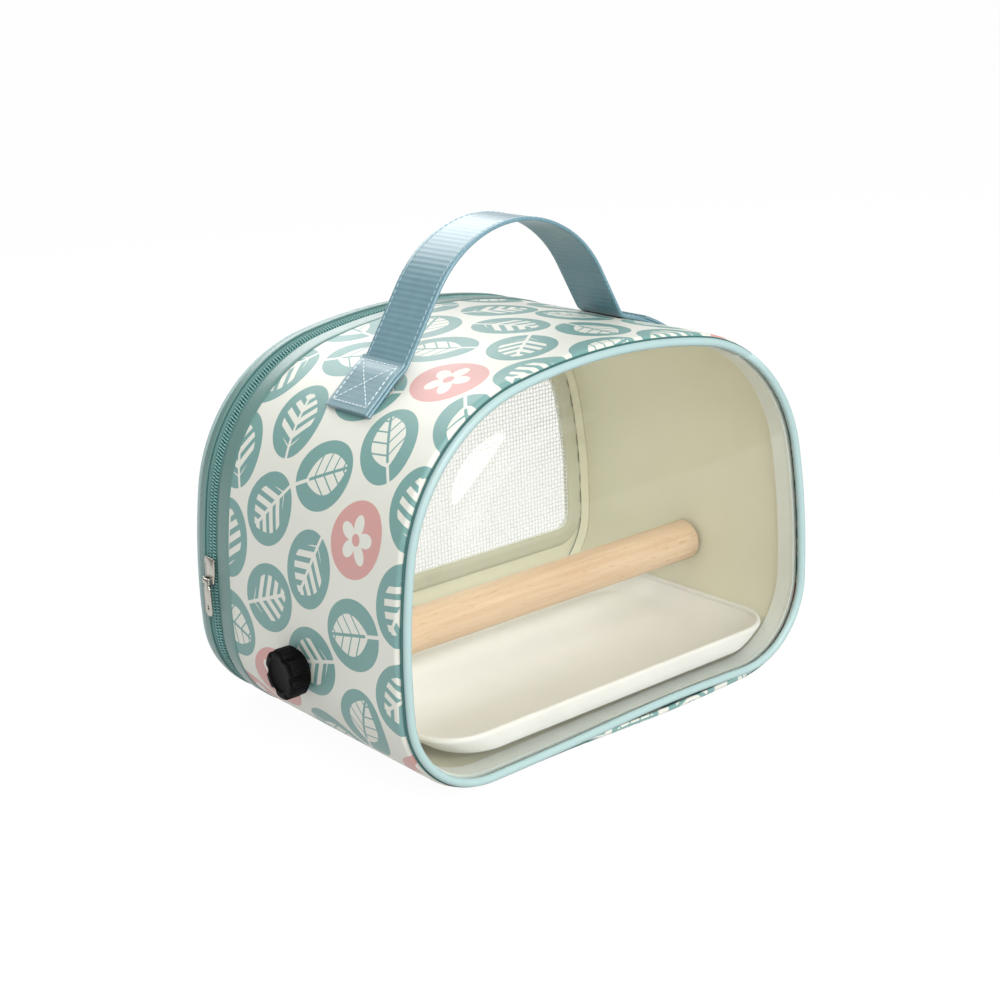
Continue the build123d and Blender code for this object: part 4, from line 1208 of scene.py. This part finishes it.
def webbing_mesh(name, first, last, lift, half_width, thick):
    """A flat strap with round edges between two distances along the line."""
    edge = thick / 2
    turn = np.radians(np.linspace(90, -90, 7))
    right = np.stack([half_width - edge + edge * np.cos(turn), edge * np.sin(turn)], 1)
    top = np.stack([np.linspace(-half_width + edge, half_width - edge, 15), np.full(15, edge)], 1)[1:-1]
    section = np.concatenate([top, right, -top, -right])
    run = np.linspace(first, last, int(last - first) + 1)
    rows = strap_point(run[None], section[:, :1], section[:, 1:] + lift)
    u = np.append(run, last) * MM
    return mesh_from_grid(name, rows, False, True, u, running(section), caps=True, sharp=60)


SHEEN = {"Sheen Weight": 0.2, "Sheen Roughness": 0.35, "Coat Weight": 0.45, "Coat Roughness": 0.3}
RIB_PITCH = 0.0026
WARP_PITCH = 0.0009


def woven(name, low, high, relief):
    """Ribbed webbing: broad soft ribs across the strap over fine warp threads."""
    f = Finish(name, high, 0.42, SHEEN)
    u, v, _ = f.axes("UV")
    rib = (u * (2 * math.pi / RIB_PITCH)).apply("SINE")
    warp = (v * (2 * math.pi / WARP_PITCH)).apply("SINE")
    fuzz = f.noise(f.vector(u, v, 0.0), 180.0)
    # The ribs darken and lighten the colour a little, as painted shade along their relief.
    f.paint("Base Color", f.mix(rib * 0.08 + warp * 0.04 + fuzz * 0.5 + 0.22, srgb(low), srgb(high)))
    f.paint("Roughness", fuzz * 0.16 + 0.34)
    f.bump(rib * 0.35 + warp * 0.1 + 0.5, relief)
    return f


webbing = woven("webbing", "4D6E78", "678C98", 0.00012)
patch_webbing = woven("patch_webbing", "57747D", "6E8E97", 0.00004)

end_run = STRAP_RUN[-1]
mesh = webbing_mesh("handle_webbing", 0.0, end_run, 0, STRAP_HALF_WIDTH, STRAP_THICK)
strap_nodes = ["handle_strap", "strap_end_left", "strap_end_right"]
strap = link("handle_webbing", mesh, webbing, None, strap_nodes)
print("webbing length:", round(end_run, 1), "mm")


def stitches(name, ends, radius, finish, body):
    """Short thread capsules, one between each pair of end points, as one mesh."""
    start, stop = ends[:, 0], ends[:, 1]
    axis = stop - start
    axis /= np.linalg.norm(axis, axis=1)[:, None]
    guess = np.where(np.abs(axis[:, 2:]) > 0.8, [[1.0, 0, 0]], [[0, 0, 1.0]])
    side = np.cross(axis, guess)
    side /= np.linalg.norm(side, axis=1)[:, None]
    other = np.cross(axis, side)
    share = np.array([0.0, 0.12, 0.5, 0.88, 1.0])
    girth = radius * np.array([0.25, 0.85, 1.0, 0.85, 0.25])
    rings, sides = len(share), 6
    turn = np.linspace(0, 2 * math.pi, sides, endpoint=False)
    middle = start[:, None] + share[None, :, None] * (stop - start)[:, None]
    ring = np.cos(turn)[:, None] * side[:, None, None] + np.sin(turn)[:, None] * other[:, None, None]
    points = middle[:, :, None] + girth[None, :, None, None] * ring
    index = np.arange(len(start) * rings * sides).reshape(-1, rings, sides)
    beside = np.roll(index, -1, 2)
    quads = np.stack([index[:, :-1], beside[:, :-1], beside[:, 1:], index[:, 1:]], -1)
    faces = quads.reshape(-1, 4).tolist() + index[:, 0, ::-1].tolist() + index[:, -1].tolist()
    mesh = bpy.data.meshes.new(name)
    mesh.from_pydata((points.reshape(-1, 3) * MM).tolist(), [], faces)
    mesh.shade_smooth()
    return link(name, mesh, finish, body)


def dashes(corners, pitch, gap):
    """End points of even stitches along a path of corner points."""
    corners = np.asarray(corners, float)
    length = np.concatenate([[0], np.cumsum(np.linalg.norm(np.diff(corners, axis=0), axis=1))])
    first = np.arange(gap / 2, length[-1] - pitch + gap, pitch)
    ends = np.stack([first, first + pitch - gap], 1)
    return np.stack([np.interp(ends, length, corners[:, i]) for i in range(corners.shape[1])], -1)


# %% Edge stitches
THREAD_LIFT = 0.05
EDGE_MARGIN = 2.2
EDGE_PITCH = 3.0
EDGE_GAP = 0.7
EDGE_THREAD_RADIUS = 0.22
run = np.arange(2.0, end_run - 2, 1.0)
rows = []
for side in (-1, 1):
    line = strap_point(run, side * (STRAP_HALF_WIDTH - EDGE_MARGIN), STRAP_THICK / 2 + THREAD_LIFT)
    rows.append(dashes(line, EDGE_PITCH, EDGE_GAP))
rows = np.concatenate(rows)
thread = stitches("handle_stitches", rows, EDGE_THREAD_RADIUS, teal_thread, None)
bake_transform(strap)
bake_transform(thread)

# %% Sewn ends
PATCH_LENGTH = 28.0
PATCH_HALF_WIDTH = STRAP_HALF_WIDTH - 0.2
BOX_MARGIN = 3.0
BOX_PITCH = 2.6
BOX_GAP = 0.6
BOX_THREAD_RADIUS = 0.3
for hand, first in (("left", 0.0), ("right", end_run - PATCH_LENGTH)):
    last = first + PATCH_LENGTH
    mesh = webbing_mesh("strap_patch_" + hand, first, last, STRAP_THICK, PATCH_HALF_WIDTH, STRAP_THICK)
    link("strap_patch_" + hand, mesh, patch_webbing, "carrier")
    low, high = first + BOX_MARGIN, last - BOX_MARGIN
    side = STRAP_HALF_WIDTH - BOX_MARGIN
    path = [(low, -side), (low, side), (high, side), (high, -side), (low, -side), (high, side)]
    box = dashes(path, BOX_PITCH, BOX_GAP)
    cross = dashes([(low, side), (high, -side)], BOX_PITCH, BOX_GAP)
    flat = np.concatenate([box, cross])
    ends = strap_point(flat[..., 0], flat[..., 1], 0 * flat[..., 0] + STRAP_THICK * 1.5 + THREAD_LIFT)
    stitches("strap_box_stitches_" + hand, ends, BOX_THREAD_RADIUS, white_thread, "carrier")

# %% [markdown]
# ## Perch and knobs
# The perch is a turned dowel, with small chamfers at its ends. Its grain is noise that is stretched
# along the axis. Each knob is a moulded grip: a round section with six finger notches and fine ribs,
# carried along its axis and closed by a dished face. Cutting the notches out of a cylinder would leave
# ragged faces; a radius that depends on the angle gives the same grip as one clean grid.

# %% Perch
PERCH_Y = -2.8
PERCH_Z = 43.5
PERCH_RADIUS = 10.0
PERCH_HALF = 114.2


def turned(name, stations, radii, sides, shape=None):
    """A solid of revolution about the perch's axis. shape multiplies the radius at each angle and row."""
    turn = np.linspace(0, 2 * math.pi, sides, endpoint=False)
    stations, radii = np.asarray(stations, float)[:, None], np.asarray(radii, float)[:, None]
    if shape is not None:
        radii = shape(turn[None], radii)
    points = np.stack(
        [stations + 0 * turn, PERCH_Y + radii * np.cos(turn), PERCH_Z + radii * np.sin(turn)], -1
    )
    return mesh_from_grid(name, points, True, False, caps=True, sharp=35)


wood = Finish("beech_dowel", "E3C7A0", 0.52)
x, y, z = wood.axes()
drift = wood.noise(wood.vector(x * 0.25, y, z), 18.0)
grain = wood.noise(wood.vector(x * 0.05, y + drift * 0.004, z + drift * 0.004), 420.0, 4.0)
flecks = wood.noise(wood.vector(x * 0.12, y, z), 1500.0, 2.0)
tone = wood.mix(grain, srgb("C59F7A"), srgb("E8D0B2"))
wood.paint("Base Color", wood.mix((flecks > 0.66) * 0.45, tone, srgb("B08858")))
wood.paint("Roughness", grain * 0.2 + 0.42)
wood.bump(grain * 0.7 + flecks * 0.3, 0.00012)
near_end = np.array([0, 0.3, 1.0]) - PERCH_HALF
middle = np.linspace(3 - PERCH_HALF, PERCH_HALF - 3, 24)
stations = np.concatenate([near_end, middle, -near_end[::-1]])
radii = np.full(len(stations), PERCH_RADIUS)
radii[[0, -1]] = PERCH_RADIUS - 1.0
radii[[1, -2]] = PERCH_RADIUS - 0.45
link("perch", turned("perch", stations, radii, 64), wood, "carrier", ["perch"])

# %% Knobs
KNOB_START = 121.8
KNOB_RADIUS = 11.2
NOTCH_RADIUS = 2.8
NOTCH_DEPTH = 1.7
LOBES = 6
RIBS_PER_LOBE = 10
RIB_HEIGHT = 0.16
NOTCH_HALF_ANGLE = 0.26
GRIP_FROM = 7.6
GRIP_FADE = 2.0
KNOB_SIDES = 240


def grip(turn, radii):
    """Six round notches and fine ribs between them, fading out towards the middle of the face."""
    nearest = (turn * LOBES / (2 * math.pi) + 0.5) % 1 - 0.5
    offset = nearest * 2 * math.pi / LOBES
    centre = KNOB_RADIUS + NOTCH_RADIUS - NOTCH_DEPTH
    reach = centre * np.sin(offset)
    inside = np.clip(NOTCH_RADIUS**2 - reach**2, 0, None)
    notch = np.where(np.abs(reach) < NOTCH_RADIUS, centre * np.cos(offset) - np.sqrt(inside), KNOB_RADIUS)
    ribs = RIB_HEIGHT * np.clip(np.cos(turn * LOBES * RIBS_PER_LOBE), 0, 1)
    ribs = ribs * (np.abs(offset) > NOTCH_HALF_ANGLE)
    fade = np.clip((radii - GRIP_FROM) / GRIP_FADE, 0, 1)
    return radii - fade * (KNOB_RADIUS - np.minimum(notch, KNOB_RADIUS) + ribs)


stations = [0, 0.0, 0.4, 1.2, 7.4, 7.9, 8.4, 8.8, 8.8, 8.75, 8.2, 8.0, 8.0]
radii = [2.0, 10.6, 11.0, 11.2, 11.2, 11.0, 10.4, 9.6, 8.2, 7.7, 7.2, 6.8, 1.0]
for hand, side in (("left", -1), ("right", 1)):
    name = "knob_" + hand
    mesh = turned(name, side * (KNOB_START + np.array(stations)), radii, KNOB_SIDES, grip)
    link(name, mesh, knob_plastic, name, [name])
print("perch and knobs done")

# %% [markdown]
# ## Slider and pull
# The slider is two plates joined by a post, with two lugs that hold the pull's bar. Each plate is an
# outline carried through a few heights, smaller at the first and last, so that its edges are rounded.
# The pull's eye turns on the bar, so both are made about the same centre, with a hair of space.

# %% Slider
SLIDER_HEIGHT = 71.0
SLIDER_TILT = math.asin((SLIDER_HEIGHT - WIDEST_HEIGHT) / SIDE_RADIUS)
SLIDER_AT = np.array([SIDE_CENTRE[0] + SIDE_RADIUS * math.cos(SLIDER_TILT), SLIDER_HEIGHT])
PLATE_OUT = np.array([-math.cos(SLIDER_TILT), 0, math.sin(SLIDER_TILT)])
PLATE_UP = np.array([math.sin(SLIDER_TILT), 0, math.cos(SLIDER_TILT)])
PLATE_ORIGIN = np.array([-SLIDER_AT[0], ZIP_Y, SLIDER_HEIGHT])


def on_slider(x, y, height):
    """A point in the slider's own frame: x towards the front, y up the wall, height off it."""
    x, y, height = np.broadcast_arrays(*(np.asarray(a, float) for a in (x, y, height)))
    return PLATE_ORIGIN - x[..., None] * [0, 1, 0] + y[..., None] * PLATE_UP + height[..., None] * PLATE_OUT


def rounded(corners, radius, steps=5):
    """A polygon with each corner replaced by a short arc-like curve."""
    corners = np.array(corners, float)
    before, after = np.roll(corners, 1, 0), np.roll(corners, -1, 0)
    share = np.linspace(0, 1, steps)[None, :, None]
    reach = [np.minimum(radius / np.linalg.norm(c - corners, axis=1), 0.49)[:, None] for c in (before, after)]
    start = corners + (before - corners) * reach[0]
    end = corners + (after - corners) * reach[1]
    from_start = (1 - share) ** 2 * start[:, None] + 2 * share * (1 - share) * corners[:, None]
    return (from_start + share**2 * end[:, None]).reshape(-1, 2)


def plate_mesh(name, outline, base, thick, edge, place):
    """An outline through four heights, drawn in by the edge at both faces, and closed by two caps."""
    middle = outline.mean(0)
    size = np.abs(outline - middle).max(0)
    small = middle + (outline - middle) * (1 - edge / size)
    rows = [(small, 0), (outline, edge), (outline, thick - edge), (small, thick)]
    points = np.stack([place(flat[:, 0], flat[:, 1], base + height) for flat, height in rows])
    return mesh_from_grid(name, points, True, False, caps=True, sharp=50)


def joined(name, meshes):
    """One mesh from several."""
    whole = bmesh.new()
    for part in meshes:
        whole.from_mesh(part)
        bpy.data.meshes.remove(part)
    mesh = bpy.data.meshes.new(name)
    whole.to_mesh(mesh)
    whole.free()
    mesh.shade_smooth()
    mesh.set_sharp_from_angle(angle=math.radians(50))
    return mesh


SLIDER_HALF = 4.2
SLIDER_NECK_HALF = 3.0
SLIDER_END = 6.25
PLATE_THICK = 1.2
OUTER_PLATE_BASE = 0.3
INNER_PLATE_BASE = -3.9
POST_HALF = 0.3
LUG_MIDDLE = 2.3
LUG_HALF = 0.4
BAR_HALF = 2.6
BAR_RADIUS = 0.6
BAR_Y, BAR_HEIGHT = -4.35, 3.0
right = [(SLIDER_NECK_HALF, -SLIDER_END), (SLIDER_HALF, 0), (SLIDER_HALF, SLIDER_END)]
left = [(-x, y) for x, y in right]
plate = rounded([left[0], *right, *left[:0:-1]], 1.3)


def block(middle, half, low, high, radius):
    """The outline of a small upright block: its middle and half width, and its ends along the slider."""
    low_side, high_side = middle - half, middle + half
    return rounded([(low_side, low), (high_side, low), (high_side, high), (low_side, high)], radius)


parts = [
    plate_mesh("outer", plate, OUTER_PLATE_BASE, PLATE_THICK, 0.35, on_slider),
    plate_mesh("inner", plate, INNER_PLATE_BASE, PLATE_THICK, 0.3, on_slider),
    plate_mesh("post", block(0, POST_HALF, 3.9, 6.2, 0.2), -3.0, 4.0, 0.1, on_slider),
]
for edge in (-1, 1):
    lug = block(edge * LUG_MIDDLE, LUG_HALF, -5.8, -2.9, 0.3)
    parts.append(plate_mesh("lug", lug, 1.2, 2.5, 0.15, on_slider))
bar_x = np.linspace(-BAR_HALF, BAR_HALF, 8)
parts.append(tube("bar", on_slider(bar_x, BAR_Y, BAR_HEIGHT), PLATE_UP[None], BAR_RADIUS, 14))
link("zip_slider", joined("zip_slider", parts), nickel, "slider", ["zip_slider"])

# %% Pull
BAR = on_slider(0.0, BAR_Y, BAR_HEIGHT)
PULL_THICK = 1.0
TAB_ROUNDING = 1.1
HOLE_DOWN = 12.6
HOLE_RADIUS = 1.1


def on_pull(x, y, height):
    """A point of the hanging tab: x along the bar, y down from it, height off its middle plane."""
    x, y, height = np.broadcast_arrays(*(np.asarray(a, float) for a in (x, y, height)))
    return BAR + np.stack([-height, x, -y], -1)


def pull_mesh(name, outline, hole, thick, edge):
    """A tab with a hole: the ring between two outlines, front and back, with rounded rims."""
    middle = outline.mean(0)
    narrow = middle + (outline - middle) * (1 - edge / np.abs(outline - middle).max(0))
    hole_middle = hole.mean(0)
    wide_hole = hole_middle + (hole - hole_middle) * 1.15
    outer = [(narrow, 0), (outline, edge), (outline, thick - edge), (narrow, thick)]
    inner = [(wide_hole, thick), (hole, thick - edge), (hole, edge), (wide_hole, 0)]
    places = [on_pull(flat[:, 0], flat[:, 1], height - thick / 2) for flat, height in outer + inner]
    return mesh_from_grid(name, np.stack(places), True, True, sharp=50)


left = [(-1.7, 1.0), (-1.7, 2.6), (-2.8, 3.6), (-2.8, 15.4), (-1.4, 17.0)]
right = [(-x, y) for x, y in left[::-1]]
tab = rounded(left + right, TAB_ROUNDING)
ray = tab - [0, HOLE_DOWN]
hole = np.array([0, HOLE_DOWN]) + HOLE_RADIUS * ray / np.linalg.norm(ray, axis=1)[:, None]
eye_turn = np.linspace(0, 2 * math.pi, 20, endpoint=False)
eye_rows = [(-1.7, 0.65), (-1.7, 1.15), (-1.5, 1.25), (1.5, 1.25), (1.7, 1.15), (1.7, 0.65)]
circles = [np.stack([r * np.cos(eye_turn), x + 0 * eye_turn, r * np.sin(eye_turn)], -1) for x, r in eye_rows]
eye = mesh_from_grid("eye", BAR + np.stack(circles), True, True, sharp=50)
parts = [pull_mesh("tab", tab, hole, PULL_THICK, 0.22), eye]
link("zip_pull", joined("zip_pull", parts), nickel, "pull", ["zip_pull"])
print("slider and pull done")

# %% [markdown]
# ## Tray
# The tray is a moulded tub with sloping walls and a thick rounded rim: a rounded rectangle that grows
# from base to rim, carried through one profile from its underside to its inner floor. Each ring is
# divided into equal steps, so that the long sides stay smooth.

# %% Tray
TRAY_MIDDLE = np.array([5.0, -17.0])
TRAY_BASE_HALF = np.array([92.6, 54.0])
TRAY_RIM_HALF = np.array([101.9, 55.5])
TRAY_CORNER = 22.0
TRAY_POINTS = 240


def tray_ring(share, inset, height):
    """A rounded rectangle: share 0 is the base's outline and 1 the rim's, drawn in by an inset."""
    half = TRAY_BASE_HALF + (TRAY_RIM_HALF - TRAY_BASE_HALF) * share - inset
    corner = TRAY_CORNER - inset
    turn = np.radians(np.linspace(0, 90, 12))
    ring = []
    for index, (sx, sy) in enumerate(((1, 1), (-1, 1), (-1, -1), (1, -1))):
        angle = turn + index * math.pi / 2
        ring.append((half - corner) * [sx, sy] + corner * np.stack([np.cos(angle), np.sin(angle)], 1))
    ring = np.concatenate(ring)
    closed = np.concatenate([ring, ring[:1]])
    length = np.concatenate([[0], np.cumsum(np.linalg.norm(np.diff(closed, axis=0), axis=1))])
    even = np.linspace(0, length[-1], TRAY_POINTS, endpoint=False)
    flat = np.stack([np.interp(even, length, closed[:, i]) for i in (0, 1)], 1)
    flat = flat + TRAY_MIDDLE
    return np.stack([flat[:, 0], flat[:, 1], np.full(TRAY_POINTS, height)], 1)


# Rows of (share, inset, height), from the underside round the rim to the inner floor.
UNDERSIDE = [(0, 18, 10.6), (0, 8, 10.6), (0, 3.0, 10.6), (0, 1.5, 10.9), (0.04, 0.7, 11.5)]
WALL = [(0.15, 0.1, 12.7), (0.5, 0, 15.2), (0.96, 0, 19.2), (1, 0, 19.7), (1, 0, 20.4)]
RIM = [(1, 0.15, 21.0), (1, 0.55, 21.45), (1, 1.2, 21.65), (1, 1.85, 21.45), (1, 2.25, 21.0)]
INSIDE = [(1, 2.4, 20.4), (1, 2.4, 19.7), (0.9, 2.4, 18.8), (0.5, 2.4, 15.9), (0.24, 2.5, 14.0)]
FLOOR = [(0.12, 3.4, 13.3), (0, 5.0, 13.0), (0, 9, 13.0), (0, 18, 13.0)]
tray_points = np.stack([tray_ring(*row) for row in UNDERSIDE + WALL + RIM + INSIDE + FLOOR])
mesh = mesh_from_grid("tray", tray_points, True, False, caps=True, sharp=45)
link("tray", mesh, tray_plastic, "tray", ["tray"])
print("tray done")

# %% Finish
low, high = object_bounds()
